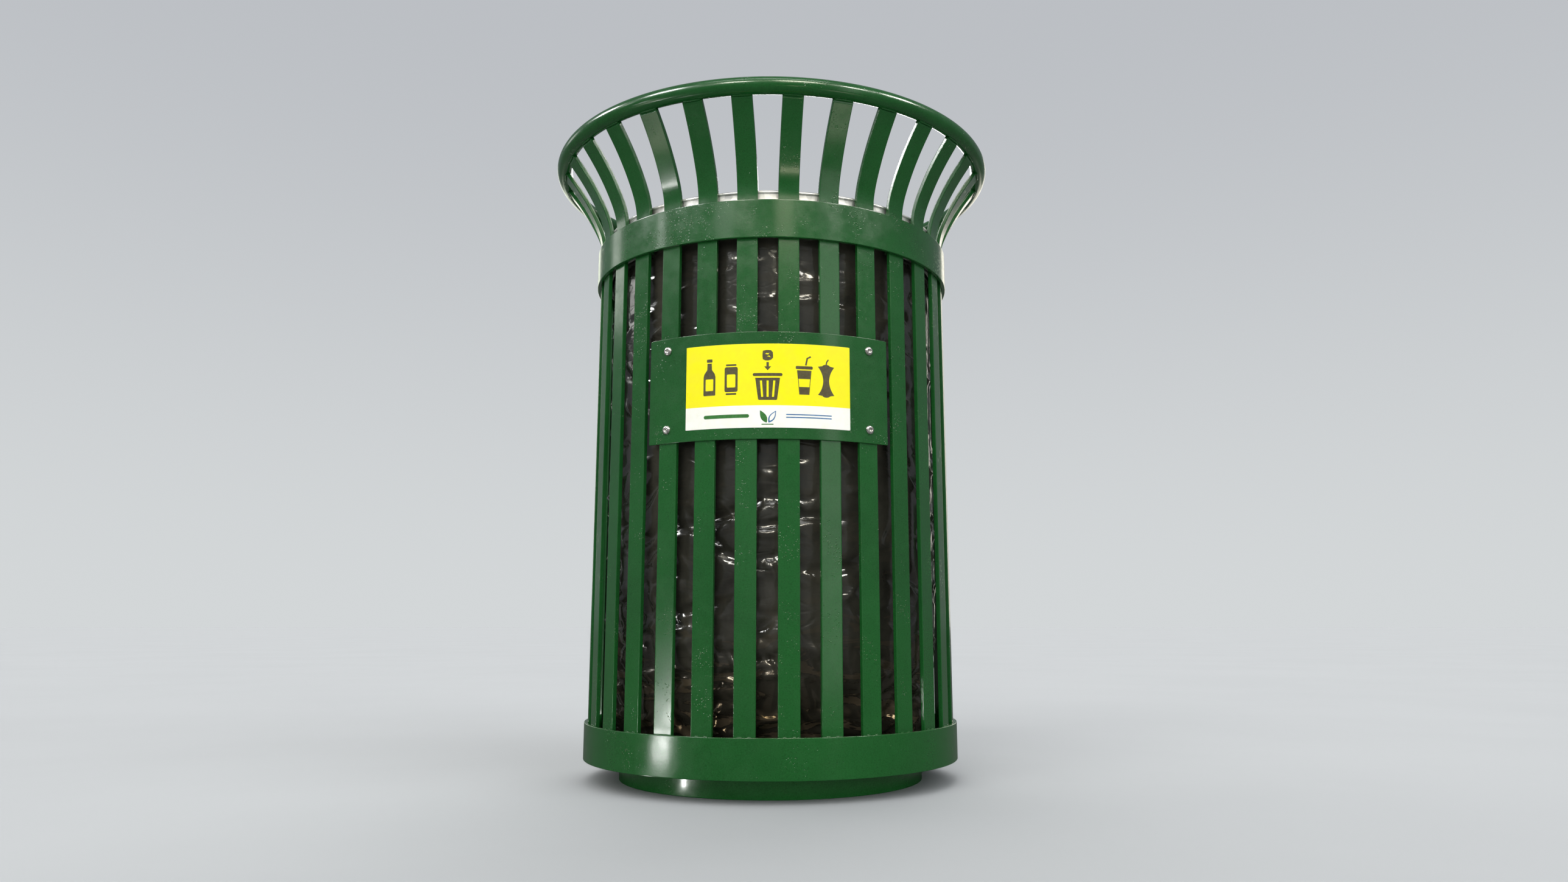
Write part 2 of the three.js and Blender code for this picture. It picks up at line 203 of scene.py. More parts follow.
def rounded_rect(x0, x1, y0, y1, radius, support=0.0005):
    """Rounded rectangle with an extra point on each side of every corner, anticlockwise."""
    radius = max(min(radius, (x1 - x0) / 2.02, (y1 - y0) / 2.02), 1e-6)
    arcs = corner_arcs(x0, x1, y0, y1, radius, steps=3)
    outline = []
    for i, arc in enumerate(arcs):
        before = beside(arc[0], arcs[i - 1][-1], support)
        after = beside(arc[-1], arcs[(i + 1) % 4][0], support)
        outline += [before, *arc, after]
    return outline


def grid_faces(rows, cols, wrap_rows=False, wrap_cols=True):
    faces = []
    for i in range(rows if wrap_rows else rows - 1):
        for j in range(cols if wrap_cols else cols - 1):
            this_row, next_row = i * cols, (i + 1) % rows * cols
            next_col = (j + 1) % cols
            faces.append((this_row + j, this_row + next_col, next_row + next_col, next_row + j))
    return faces


def capped_faces(rows, cols):
    """Faces of a tube of rings, with flat caps on its first and last ring."""
    return grid_faces(rows, cols) + [tuple(range(cols - 1, -1, -1)),
                                     tuple(range((rows - 1) * cols, rows * cols))]


def lathe(name, profile, material, segments, shift=None):
    """Ring about the bin's axis from a closed (r, z) profile.

    shift(angle, r, z) gives amounts to add to r and z.
    """
    profile = np.array(profile, float)
    verts = []
    for angle in np.arange(segments) / segments * 360:
        r, z = profile[:, 0], profile[:, 1]
        if shift is not None:
            dr, dz = shift(angle, r, z)
            r, z = r + dr, z + dz
        dx, dy = direction(angle)
        verts.append(np.stack([r * dx, r * dy, z], 1))
    faces = grid_faces(segments, len(profile), wrap_rows=True)
    return outward(make_object(name, np.concatenate(verts), faces, material))


def loft(name, rings, material):
    """Joins rings of equal length into a closed body with flat end caps."""
    verts = np.concatenate([np.asarray(ring, float) for ring in rings])
    return outward(make_object(name, verts, capped_faces(len(rings), len(rings[0])), material))


def turned(points, deg, z=0.0):
    """Points with x outward, y across and z up, turned to an angle round the bin."""
    points = np.asarray(points, float)
    dx, dy = direction(deg)
    out = np.empty_like(points)
    out[:, 0] = points[:, 0] * dx - points[:, 1] * dy
    out[:, 1] = points[:, 0] * dy + points[:, 1] * dx
    out[:, 2] = points[:, 2] + z
    return out


def flat_mesh(name, outlines, **settings):
    """Mesh of a filled flat curve; outlines inside the first one are holes."""
    curve = bpy.data.curves.new(name, "CURVE")
    curve.dimensions = "2D"
    configure(curve, **settings)
    for outline in outlines:
        spline = curve.splines.new("POLY")
        spline.points.add(len(outline) - 1)
        for point, (x, y) in zip(spline.points, outline):
            point.co = (x, y, 0, 1)
        spline.use_cyclic_u = True
    carrier = add_object(name, curve)
    bpy.context.view_layer.update()
    mesh = evaluated_mesh(carrier)
    bpy.data.objects.remove(carrier)
    return mesh


# lookup tables of the noise
SHUFFLE = np.random.default_rng(5).permutation(4096)
LATTICE = np.random.default_rng(6).uniform(-1, 1, 4096)


def lattice_value(ix, iy, iz):
    return LATTICE[SHUFFLE[(SHUFFLE[(SHUFFLE[ix & 4095] + iy) & 4095] + iz) & 4095]]


def noise3(x, y, z):
    """Smooth value noise, about -1 to 1."""
    x, y, z = np.broadcast_arrays(np.asarray(x, float), np.asarray(y, float),
                                  np.asarray(z, float))
    ix, iy, iz = (np.floor(v).astype(int) for v in (x, y, z))
    ux, uy, uz = (f * f * f * (f * (f * 6 - 15) + 10) for f in (x - ix, y - iy, z - iz))
    total = 0
    for dx in (0, 1):
        wx = ux if dx else 1 - ux
        for dy in (0, 1):
            wy = uy if dy else 1 - uy
            for dz in (0, 1):
                wz = uz if dz else 1 - uz
                total = total + wx * wy * wz * lattice_value(ix + dx, iy + dy, iz + dz)
    return total


def smoothstep(start, end, x):
    t = np.clip((x - start) / (end - start), 0, 1)
    return t * t * (3 - 2 * t)


# ----------------------------------------------------------- shader helpers

def srgb(*rgb):
    """Linear RGBA from sRGB values of 0 to 255."""
    def linear(c):
        return c / 12.92 if c <= 0.04045 else ((c + 0.055) / 1.055) ** 2.4
    return (*(linear(v / 255) for v in rgb), 1.0)


def tone(rgb, factor):
    """An sRGB colour scaled by one factor, or by one for each channel."""
    return srgb(*np.multiply(rgb, factor))


def feed(tree, node, inputs):
    """Link or set inputs by name or number; None leaves the node's own value."""
    for key, value in inputs.items():
        if isinstance(value, bpy.types.NodeSocket):
            tree.links.new(value, node.inputs[key])
        elif value is not None:
            node.inputs[key].default_value = value


def add_node(tree, kind, inputs=None, **settings):
    node = tree.nodes.new("ShaderNode" + kind)
    configure(node, **settings)
    feed(tree, node, inputs or {})
    return node


class Shader:
    """Short-hand for building a Principled material in object coordinates."""

    def __init__(self, name):
        self.material = bpy.data.materials.new(name)
        self.material.use_nodes = True
        self.tree = self.material.node_tree
        self.tree.nodes.clear()
        self.out = self.add("OutputMaterial")
        self.bsdf = self.add("BsdfPrincipled")
        feed(self.tree, self.out, {0: self.bsdf.outputs[0]})
        self.coord = self.add("TexCoord").outputs["Object"]

    def add(self, kind, inputs=None, **settings):
        return add_node(self.tree, kind, inputs, **settings)

    def math(self, operation, first, second=None, clamp=False):
        node = self.add("Math", {0: first, 1: second}, operation=operation, use_clamp=clamp)
        return node.outputs[0]

    def times(self, value, by):
        return self.math("MULTIPLY", value, by)

    def plus(self, first, second, clamp=False):
        return self.math("ADD", first, second, clamp)

    def weighted(self, first, second):
        """Sum of two (value, weight) pairs."""
        return self.plus(self.times(*first), self.times(*second))

    def mapping(self, scale=(1, 1, 1), location=(0, 0, 0)):
        inputs = {"Vector": self.coord, "Scale": scale, "Location": location}
        return self.add("Mapping", inputs).outputs[0]

    def noise(self, scale, detail=3.0, rough=0.55, vector=None, distortion=0.0):
        inputs = {"Vector": vector or self.coord, "Scale": scale, "Detail": detail,
                  "Roughness": rough, "Distortion": distortion}
        return self.add("TexNoise", inputs).outputs["Fac"]

    def voronoi(self, scale, vector=None, feature="F1", output="Distance"):
        inputs = {"Vector": vector or self.coord, "Scale": scale, "Randomness": 1.0}
        return self.add("TexVoronoi", inputs, feature=feature).outputs[output]

    def cell_value(self, scale, channel=0, vector=None):
        """One random value for each Voronoi cell."""
        return self.split(self.voronoi(scale, vector, output="Color"))[channel]

    def dots(self, scale, size, vector=None):
        """1 in the middle of each Voronoi cell, fading to 0 over a range of distances."""
        return self.ramp(self.voronoi(scale, vector), over=size, to=(1.0, 0.0))

    def ramp(self, value, over, to=(0.0, 1.0), smooth=True):
        inputs = {"Value": value, "From Min": over[0], "From Max": over[1],
                  "To Min": to[0], "To Max": to[1]}
        kind = "SMOOTHSTEP" if smooth else "LINEAR"
        return self.add("MapRange", inputs, interpolation_type=kind).outputs[0]

    def mix(self, low, high, mask, amount=None):
        """From one colour to another by a mask, which an amount may weaken."""
        if amount is not None:
            mask = self.times(mask, by=amount)
        return self.add("Mix", {0: mask, 6: low, 7: high}, data_type="RGBA").outputs[2]

    def bump(self, height, strength, distance, normal=None):
        inputs = {"Height": height, "Strength": strength, "Distance": distance,
                  "Normal": normal}
        return self.add("Bump", inputs).outputs[0]

    def edge(self, over):
        """0 on flat faces, towards 1 on sharp outer edges and inner corners."""
        bevel = self.add("Bevel", {"Radius": 0.001}, samples=4)
        geometry = self.add("NewGeometry")
        dot = self.add("VectorMath", {0: bevel.outputs[0], 1: geometry.outputs["Normal"]},
                       operation="DOT_PRODUCT")
        return self.ramp(self.math("SUBTRACT", 1.0, dot.outputs["Value"]), over)

    def warped(self, scale, amount):
        """Object coordinates pushed about a little, so that spots come out irregular."""
        noise = self.add("TexNoise", {"Vector": self.coord, "Scale": scale, "Detail": 2.0})
        inputs = {0: noise.outputs["Color"], 1: (amount, amount, amount), 2: self.coord}
        return self.add("VectorMath", inputs, operation="MULTIPLY_ADD").outputs["Vector"]

    def split(self, vector=None):
        return self.add("SeparateXYZ", {0: vector or self.coord}).outputs

    def finish(self, color, rough, normal=None, **sockets):
        inputs = {"Base Color": color, "Roughness": rough, "Normal": normal}
        inputs.update({key.replace("_", " "): value for key, value in sockets.items()})
        feed(self.tree, self.bsdf, inputs)
        return self.material


# ---------------------------------------------------------------- materials

def paint_material(name, base=(23, 83, 33), dusty=0.0, relief=1.0, spread=0.0):
    """Semi-gloss paint: mottling, orange peel, blisters lighter as painted glints, pits darker
    as painted shade, edges lighter from wear and a painted highlight, a little dust.

    relief scales the height of blisters and pits, spread widens the blisters' clusters.
    """
    mat = Shader(name)
    low = mat.noise(scale=4.5, detail=4, rough=0.6)
    mid = mat.noise(scale=42, detail=5, rough=0.65)
    fine = mat.noise(scale=620, detail=2, rough=0.6)
    fine_dark = mat.noise(scale=480, detail=2, rough=0.6)
    color = mat.mix(tone(base, 0.93), tone(base, 1.06), mat.ramp(low, over=(0.3, 0.7)))
    color = mat.mix(color, tone(base, (1.32, 1.10, 1.22)),
                    mat.ramp(mid, over=(0.40, 0.75), to=(0, 0.30)))
    color = mat.mix(color, tone(base, (1.35, 1.16, 1.30)),
                    mat.ramp(fine, over=(0.42, 0.68), to=(0, 0.42)))
    color = mat.mix(color, tone(base, (0.60, 0.74, 0.66)),
                    mat.ramp(fine_dark, over=(0.50, 0.70), to=(0, 0.42)))
    # blisters and pits: irregular spots in some of the cells, where a soft mask allows them
    skew = mat.warped(scale=420, amount=0.0026)

    def spots(scale, size, channel, chosen, clusters):
        keep = mat.ramp(mat.cell_value(scale, channel, skew), over=chosen)
        return mat.times(mat.times(mat.dots(scale, size, skew), keep), clusters)

    blister_area = mat.ramp(mat.noise(scale=17, detail=3, rough=0.6),
                            over=(0.572 - spread, 0.65 - spread))
    blister = spots(scale=360, size=(0.08, 0.40), channel=0, chosen=(0.50, 0.54),
                    clusters=blister_area)
    pit_area = mat.ramp(mat.noise(scale=13, detail=3, rough=0.6), over=(0.58, 0.64))
    pit = spots(scale=300, size=(0.06, 0.30), channel=1, chosen=(0.66, 0.70),
                clusters=pit_area)
    # dust on faces that look up
    normal_z = mat.split(mat.add("NewGeometry").outputs["Normal"])[2]
    dust_cloud = mat.ramp(mat.noise(scale=60, detail=4, rough=0.7),
                          over=(0.35, 0.75), to=(0.05, 0.32 + dusty))
    dust = mat.times(mat.ramp(normal_z, over=(0.35, 0.95)), dust_cloud)
    color = mat.mix(color, srgb(112, 122, 98), dust)
    # pits darker: painted shade in their hollows
    color = mat.mix(color, srgb(20, 44, 22), pit, amount=0.12)
    # blisters lighter: painted glints
    color = mat.mix(color, srgb(104, 150, 84), blister, amount=0.30)
    # edges lighter green: partly wear, partly a painted highlight along the edges
    edge = mat.edge(over=(0.03, 0.20))
    wear_and_edge_sheen = mat.times(edge, mat.ramp(mat.noise(scale=70, detail=4, rough=0.7),
                                    over=(0.36, 0.62)))
    color = mat.mix(color, srgb(104, 150, 100), wear_and_edge_sheen, amount=0.55)
    chip = mat.times(edge, mat.ramp(mat.noise(scale=120, detail=3, rough=0.6),
                                    over=(0.66, 0.72)))
    color = mat.mix(color, srgb(92, 84, 72), chip)
    peel = mat.weighted((mat.noise(scale=300, detail=2, rough=0.5), 0.6),
                        (mat.noise(scale=1100, detail=2, rough=0.5), 0.22))
    normal = mat.bump(peel, strength=0.16, distance=0.0006)
    spot_height = mat.math("SUBTRACT", mat.times(blister, by=relief),
                           mat.times(pit, by=0.6 * relief))
    normal = mat.bump(spot_height, strength=0.9, distance=0.0009, normal=normal)
    rough = mat.ramp(mid, over=(0.3, 0.75), to=(0.17, 0.27))
    rough = mat.plus(rough, mat.times(dust, by=0.35))
    rough = mat.plus(rough, mat.times(chip, by=0.25), clamp=True)
    return mat.finish(color, rough, normal, Coat_Weight=0.20, Coat_Roughness=0.11,
                      Specular_IOR_Level=0.5)


def galvanised_material(name):
    """Weathered hot-dip zinc: spangles, white bloom, brown stains and specks, and a painted
    highlight along the edges.
    """
    mat = Shader(name)
    spangle = mat.cell_value(scale=85)
    bloom = mat.noise(scale=26, detail=5, rough=0.65)
    stain = mat.noise(scale=11, detail=4, rough=0.7)
    color = mat.mix(srgb(196, 197, 193), srgb(230, 230, 226), spangle)
    color = mat.mix(color, srgb(240, 238, 230),
                    mat.ramp(bloom, over=(0.42, 0.72), to=(0, 0.65)))
    color = mat.mix(color, srgb(140, 133, 114),
                    mat.ramp(stain, over=(0.50, 0.70), to=(0, 0.75)))
    speck = mat.times(mat.dots(scale=240, size=(0.08, 0.26)),
                      mat.ramp(mat.noise(scale=30, detail=2), over=(0.52, 0.62)))
    color = mat.mix(color, srgb(58, 48, 40), speck, amount=0.7)
    # near-white along the edges: painted highlight
    color = mat.mix(color, srgb(235, 235, 232), mat.edge(over=(0.03, 0.3)), amount=0.4)
    rough = mat.ramp(bloom, over=(0.3, 0.75), to=(0.30, 0.62))
    height = mat.weighted((mat.noise(scale=180, detail=4, rough=0.6), 0.5), (speck, -0.6))
    metal = mat.ramp(bloom, over=(0.40, 0.75), to=(0.80, 0.35))
    return mat.finish(color, rough, mat.bump(height, strength=0.25, distance=0.0008),
                      Metallic=metal)


def stainless_material(name):
    mat = Shader(name)
    base = (222, 220, 214)
    fine = mat.noise(scale=900, detail=3, rough=0.6)
    mid = mat.noise(scale=260, detail=3, rough=0.7)
    color = mat.mix(srgb(*base), tone(base, 0.72), mat.ramp(mid, over=(0.35, 0.75)))
    brown = mat.ramp(mat.noise(scale=430, detail=4, rough=0.7),
                     over=(0.60, 0.76), to=(0, 0.55))
    color = mat.mix(color, srgb(96, 74, 58), brown)
    height = mat.weighted((fine, 0.4), (mid, 0.3))
    return mat.finish(color, mat.ramp(mid, over=(0.3, 0.8), to=(0.16, 0.36)),
                      mat.bump(height, strength=0.22, distance=0.0003), Metallic=0.85)


def zinc_material(name):
    mat = Shader(name)
    mid = mat.noise(scale=200, detail=4, rough=0.7)
    color = mat.mix(srgb(168, 172, 176), srgb(130, 132, 136),
                    mat.ramp(mid, over=(0.35, 0.7)))
    stain = mat.ramp(mat.noise(scale=60, detail=4, rough=0.7),
                     over=(0.56, 0.72), to=(0, 0.6))
    color = mat.mix(color, srgb(150, 128, 92), stain)
    normal = mat.bump(mat.noise(scale=700, detail=3), strength=0.2, distance=0.0004)
    return mat.finish(color, mat.ramp(mid, over=(0.3, 0.8), to=(0.28, 0.5)), normal,
                      Metallic=1.0)


def film_material(name):
    """Glossy brown-black film: cloudy, paler in places, paler vertical streaks of painted
    reflection, darker towards the bottom with brown patches of painted light showing through,
    creases.
    """
    mat = Shader(name)
    z = mat.split()[2]
    cloud = mat.noise(scale=6, detail=5, rough=0.65, distortion=0.5)
    color = mat.mix(srgb(49, 48, 42), srgb(66, 64, 56), mat.ramp(cloud, over=(0.35, 0.70)))
    # paler vertical streaks: painted reflection of broad lights
    column = mat.noise(scale=9, detail=4, rough=0.65, vector=mat.mapping(scale=(1, 1, 0.22)))
    color = mat.mix(color, srgb(80, 77, 68),
                    mat.ramp(column, over=(0.50, 0.72), to=(0, 0.60)))
    dark = mat.noise(scale=14, detail=4, rough=0.6,
                     vector=mat.mapping(scale=(1, 1, 0.5), location=(3, 1, 2)))
    color = mat.mix(color, srgb(34, 33, 29), mat.ramp(dark, over=(0.52, 0.72), to=(0, 0.65)))
    # darker towards the bottom, with dark-rimmed brown islands of painted light showing through
    # the film
    low = mat.ramp(z, over=(0.10, 0.24), to=(1.0, 0.0))
    color = mat.mix(color, srgb(31, 28, 22), low, amount=0.70)
    island = mat.noise(scale=12, detail=5, rough=0.6, vector=mat.mapping(scale=(1, 1, 3.2)),
                       distortion=1.1)
    brown = mat.times(mat.ramp(island, over=(0.53, 0.57)),
                      mat.ramp(z, over=(0.12, 0.30), to=(1.0, 0.15)))
    # brown islands: painted light showing through the film
    color = mat.mix(color, srgb(84, 73, 57), brown, amount=0.50)
    rim = mat.times(mat.ramp(island, over=(0.505, 0.535)),
                    mat.ramp(island, over=(0.535, 0.565), to=(1.0, 0.0)))
    color = mat.mix(color, srgb(22, 19, 16), mat.times(rim, low), amount=0.7)
    crease = mat.voronoi(scale=38, feature="DISTANCE_TO_EDGE",
                         vector=mat.mapping(scale=(1, 1, 1.9)))
    height = mat.weighted((mat.ramp(crease, over=(0.0, 0.16)), 0.35),
                          (mat.noise(scale=46, detail=3, rough=0.5), 0.7))
    normal = mat.bump(height, strength=0.16, distance=0.0016)
    # short soft creases: stretch, offset, half-width, height (outward, then inward)
    sets = (((1, 1, 2.7), (5, 2, 1), 0.085, 0.0013), ((1, 1, 2.2), (1, 7, 4), 0.070, -0.0010))
    for k, (stretch, offset, half_width, distance) in enumerate(sets):
        line = mat.noise(scale=12 + 5 * k, detail=0.6, rough=0.4,
                         vector=mat.mapping(scale=stretch, location=offset), distortion=0.15)
        thin = mat.ramp(mat.math("ABSOLUTE", mat.math("SUBTRACT", line, 0.5)),
                        over=(0.0, half_width), to=(1.0, 0.0))
        area = mat.noise(scale=13 + 5 * k, detail=1.5, rough=0.5,
                         vector=mat.mapping(location=(2 + k, 8, 3)))
        shown = mat.times(thin, mat.ramp(area, over=(0.54, 0.66)))
        normal = mat.bump(shown, strength=0.7, distance=distance, normal=normal)
    rough = mat.ramp(mat.noise(scale=24, detail=4, rough=0.6),
                     over=(0.3, 0.75), to=(0.11, 0.24))
    # where the film is darker towards the bottom and in the brown islands, what it reflects is
    # warmed and its finest gloss dulled
    low_and_brown_mask = mat.math("MAXIMUM", low, mat.times(brown, by=0.5))
    tint = mat.mix(srgb(255, 255, 255), srgb(224, 192, 142), low_and_brown_mask)
    coat = mat.ramp(z, over=(0.10, 0.26), to=(0.03, 0.2))
    return mat.finish(color, rough, normal, Specular_IOR_Level=0.6, Specular_Tint=tint,
                      Coat_Weight=coat, Coat_Roughness=0.05)


def vinyl_material(name, split_z):
    """Printed vinyl, yellow above a white strip, with small bubbles and scuffs."""
    mat = Shader(name)
    z = mat.split()[2]
    above = mat.ramp(z, over=(split_z - 0.00012, split_z + 0.00012), smooth=False)
    cloud = mat.noise(scale=60, detail=5, rough=0.65)
    clouded = mat.ramp(cloud, over=(0.3, 0.75))
    yellow = mat.mix(srgb(255, 245, 4), srgb(251.175, 238.875, 3.2), clouded)
    clouded = mat.ramp(cloud, over=(0.3, 0.75))
    white = mat.mix(srgb(255, 255, 246), srgb(250, 248, 234), clouded)
    color = mat.mix(white, yellow, above)
    streaks = mat.noise(scale=210, detail=4, rough=0.75,
                        vector=mat.mapping(scale=(0.35, 1, 1)))
    scuff = mat.times(mat.ramp(streaks, over=(0.66, 0.74)),
                      mat.ramp(mat.noise(scale=9, detail=2), over=(0.45, 0.6)))
    color = mat.mix(color, srgb(150, 142, 96), scuff, amount=0.35)
    bubble = mat.times(mat.dots(scale=110, size=(0.08, 0.24)),
                       mat.ramp(mat.noise(scale=22, detail=2), over=(0.56, 0.66)))
    height = mat.weighted((mat.noise(scale=380, detail=3, rough=0.5), 0.10), (bubble, 0.55))
    return mat.finish(color, mat.ramp(cloud, over=(0.3, 0.75), to=(0.32, 0.46)),
                      mat.bump(height, strength=0.4, distance=0.0006),
                      Specular_IOR_Level=0.28)


def ink_material(name, rgb):
    mat = Shader(name)
    grain = mat.noise(scale=240, detail=4, rough=0.7)
    paler = srgb(*[min(255, v * 1.18 + 5) for v in rgb])
    color = mat.mix(srgb(*rgb), paler, mat.ramp(grain, over=(0.35, 0.75)))
    return mat.finish(color, mat.ramp(grain, over=(0.3, 0.75), to=(0.34, 0.46)),
                      mat.bump(grain, strength=0.1, distance=0.0003))


def nylon_material(name):
    mat = Shader(name)
    fine = mat.noise(scale=500, detail=4, rough=0.6)
    low = mat.noise(scale=70, detail=4, rough=0.7)
    color = mat.mix(srgb(30, 31, 32), srgb(66, 64, 60), mat.ramp(low, over=(0.4, 0.75)))
    return mat.finish(color, mat.ramp(low, over=(0.3, 0.8), to=(0.42, 0.65)),
                      mat.bump(fine, strength=0.35, distance=0.0004))


GREEN = paint_material("paint_green")
GREEN_SIGN = paint_material("paint_green_sign", base=(25, 83, 34))
GREEN_FLOOR = paint_material("paint_green_floor", base=(22, 78, 31), dusty=0.25)
# plinth paint: a lighter base as painted light where the lower band above shades it, and a
# little more dust
GREEN_PLINTH_PAINTED_LIGHT = paint_material("paint_green_plinth_painted_light", base=(29, 97, 39), dusty=0.15)
GREEN_BAND = paint_material("paint_green_band", relief=1.1, spread=0.045)
GALV = galvanised_material("galvanised")
GALV_HOOP = galvanised_material("galvanised_hoop")
STAINLESS = stainless_material("stainless")
ZINC = zinc_material("zinc_plate")
FILM = film_material("bag_film")
NYLON = nylon_material("nylon_black")


# ------------------------------------------------------ top ring, bands, plinth

def tube_shift(angle, r, z):
    """Slight swelling of the tube at its seam, at the back."""
    seam = 0.0006 * math.exp(-((angle - 183.0) / 0.55) ** 2)
    return seam * (r - TUBE_R) / TUBE_SECTION, seam * (z - TUBE_Z) / TUBE_SECTION


def band_shift(seam_at):
    """Slight thickening of a flat hoop at its seam."""
    def shift(angle, r, z):
        seam = 0.0005 * math.exp(-((angle - seam_at) / 0.5) ** 2)
        return seam * np.sign(r - r.mean()), 0 * z
    return shift


def flat_hoop(name, node, section, corner, seam_at, segments, material):
    """section is inner and outer radius, bottom and top."""
    place_painted(lathe(name, rounded_rect(*section, corner), material, segments,
                        band_shift(seam_at)), node)


tube_profile = [(TUBE_R + TUBE_SECTION * math.cos(a), TUBE_Z + TUBE_SECTION * math.sin(a))
                for a in np.linspace(0, 2 * math.pi, 33)[:-1]]
place_painted(lathe("top_ring_tube", tube_profile, GREEN, 360, tube_shift), "top_ring")

flat_hoop("upper_band_hoop", "upper_band", (BAND_IN, BAND_OUT, UPPER_Z0, UPPER_Z1),
          corner=0.0007, seam_at=192, segments=300, material=GREEN_BAND)
flat_hoop("lower_band_hoop", "lower_band", (BAND_IN, BAND_OUT, LOWER_Z0, LOWER_Z1),
          corner=0.0007, seam_at=168, segments=300, material=GREEN)
# the plinth gets the lighter paint with painted light
flat_hoop("base_ring_plinth", "base_ring",
          (PLINTH_IN, PLINTH_OUT, PLINTH_Z0, PLINTH_Z1 + 0.0003),
          corner=0.0008, seam_at=180, segments=240, material=GREEN_PLINTH_PAINTED_LIGHT)


# -------------------------------------------------------------- floor plate

def floor_plate():
    """Disc with rounded edges, a centre hole, eight holes round it and four for the studs."""
    edge = 0.0006

    def circle(cx, cy, radius, count):
        angles = [2 * math.pi * i / count for i in range(count)]
        return [(cx + radius * math.cos(a), cy + radius * math.sin(a)) for a in angles]

    def hole(angle, distance, radius):
        dx, dy = direction(angle)
        return circle(distance * dx, distance * dy, radius + edge, 32)

    # the bevel grows outward from the outline, so the rim is drawn smaller and holes larger
    outlines = [circle(0, 0, 0.2878 - edge, 240), circle(0, 0, 0.0070 + edge, 40)]
    outlines += [hole(i * 45, 0.128, 0.0060) for i in range(8)]
    outlines += [hole(angle, FOOT_CIRCLE, 0.0057) for angle in FOOT_ANGLES]
    mesh = flat_mesh("floor_outline", outlines, fill_mode="BOTH",
                     extrude=(FLOOR_PLATE_Z1 - FLOOR_PLATE_Z0) / 2 - edge,
                     bevel_depth=edge, bevel_resolution=2)
    mesh.transform(Matrix.Translation((0, 0, (FLOOR_PLATE_Z0 + FLOOR_PLATE_Z1) / 2)))
    mesh.materials.clear()
    mesh.materials.append(GREEN_FLOOR)
    with editing(mesh) as bm:
        bmesh.ops.remove_doubles(bm, verts=bm.verts, dist=1e-6)
        bmesh.ops.recalc_face_normals(bm, faces=bm.faces)
        for face in bm.faces:
            face.smooth = abs(face.normal.z) < 0.99
    return add_object("floor_plate_disc", mesh)


place_painted(floor_plate(), "floor_plate")


# -------------------------------------------------------------------- slats

def slat_path():
    """Outer-face points (r, z, lean) of a slat from its foot to inside the tube."""
    z, r = FLARE[:, 0], FLARE[:, 1]
    slope = np.gradient(r, z)
    slope[0] = 0.0
    slope[-1] = math.tan(FLARE_END)
    path = [(SLAT_R, height, 0.0) for height in np.linspace(SLAT_FOOT, 0.836, 14)]
    # cubic curve through the flare's points
    for i in range(len(z) - 1):
        rise = z[i + 1] - z[i]
        steps = np.linspace(0, 1, 7)
        for t in steps if i == len(z) - 2 else steps[:-1]:
            radius = ((2 * t**3 - 3 * t**2 + 1) * r[i]
                      + (t**3 - 2 * t**2 + t) * rise * slope[i]
                      + (-2 * t**3 + 3 * t**2) * r[i + 1]
                      + (t**3 - t**2) * rise * slope[i + 1])
            gradient = ((6 * t * t - 6 * t) * r[i]
                        + (3 * t * t - 4 * t + 1) * rise * slope[i]
                        + (-6 * t * t + 6 * t) * r[i + 1]
                        + (3 * t * t - 2 * t) * rise * slope[i + 1]) / rise
            path.append((radius, z[i] + t * rise, math.atan(gradient)))
    lean = path[-1][2]
    for reach in (0.004, 0.008, 0.0125):
        path.append((r[-1] + reach * math.sin(lean), z[-1] + reach * math.cos(lean), lean))
    return path


PATH = slat_path()
END_LEAN = PATH[-1][2]


def slat_section(inset, corner):
    """Section of the flat bar: depth behind the outer face, and distance across."""
    return rounded_rect(-SLAT_THICK + inset, -inset, -SLAT_WIDTH / 2 + inset,
                        SLAT_WIDTH / 2 - inset, corner, support=0.0006)


def slat(name, node, angle, seed):
    # each bar sits a hair off true
    skew = np.random.default_rng(seed).uniform(-0.0003, 0.0003)
    # the foot's edge is rounded in three rings: rise above the foot, inset of the section
    path = [(SLAT_R, SLAT_FOOT + rise, 0.0, slat_section(inset, 0.0006))
            for rise, inset in ((0.0, 0.0006), (0.0002, 0.0002))]
    full = slat_section(0, 0.00075)
    path.append((SLAT_R, SLAT_FOOT + 0.0006, 0.0, full))
    path += [(*station, full) for station in PATH[1:]]
    rings = []
    for r, z, lean, section in path:
        ring = [(r + depth * math.cos(lean), across + skew * (z - 0.5),
                 z - depth * math.sin(lean)) for depth, across in section]
        rings.append(turned(ring, angle))
    place_painted(loft(name, rings, GREEN), node)


for number, slat_angle in enumerate(SLAT_ANGLES, 1):
    slat(f"slat_bar_{number:02d}", f"slat_{number:02d}", slat_angle, seed=99 + number)


# -------------------------------------------------------------------- welds

def weld_bead(line, radius, seed):
    """A bumpy closed bead along a line of points, as verts and faces."""
    rng = np.random.default_rng(seed)
    line = np.asarray(line, float)
    count, around = len(line), 10
    tangents = np.gradient(line, axis=0)
    tangents /= np.linalg.norm(tangents, axis=1)[:, None]
    verts = []
    for i, (point, tangent) in enumerate(zip(line, tangents)):
        side = np.cross(tangent, (0, 0, 1.0))
        side /= np.linalg.norm(side)
        up = np.cross(side, tangent)
        taper = math.sqrt(max(0.0, 1 - (2 * i / (count - 1) - 1) ** 6))
        bumps = 1 + 0.13 * math.sin(i * 2.1 + seed) + rng.uniform(-0.05, 0.05)
        size = radius * bumps * max(taper, 0.12)
        for j in range(around):
            a = 2 * math.pi * j / around
            verts.append(point + size * (math.cos(a) * side + math.sin(a) * up))
    return verts, capped_faces(count, around)


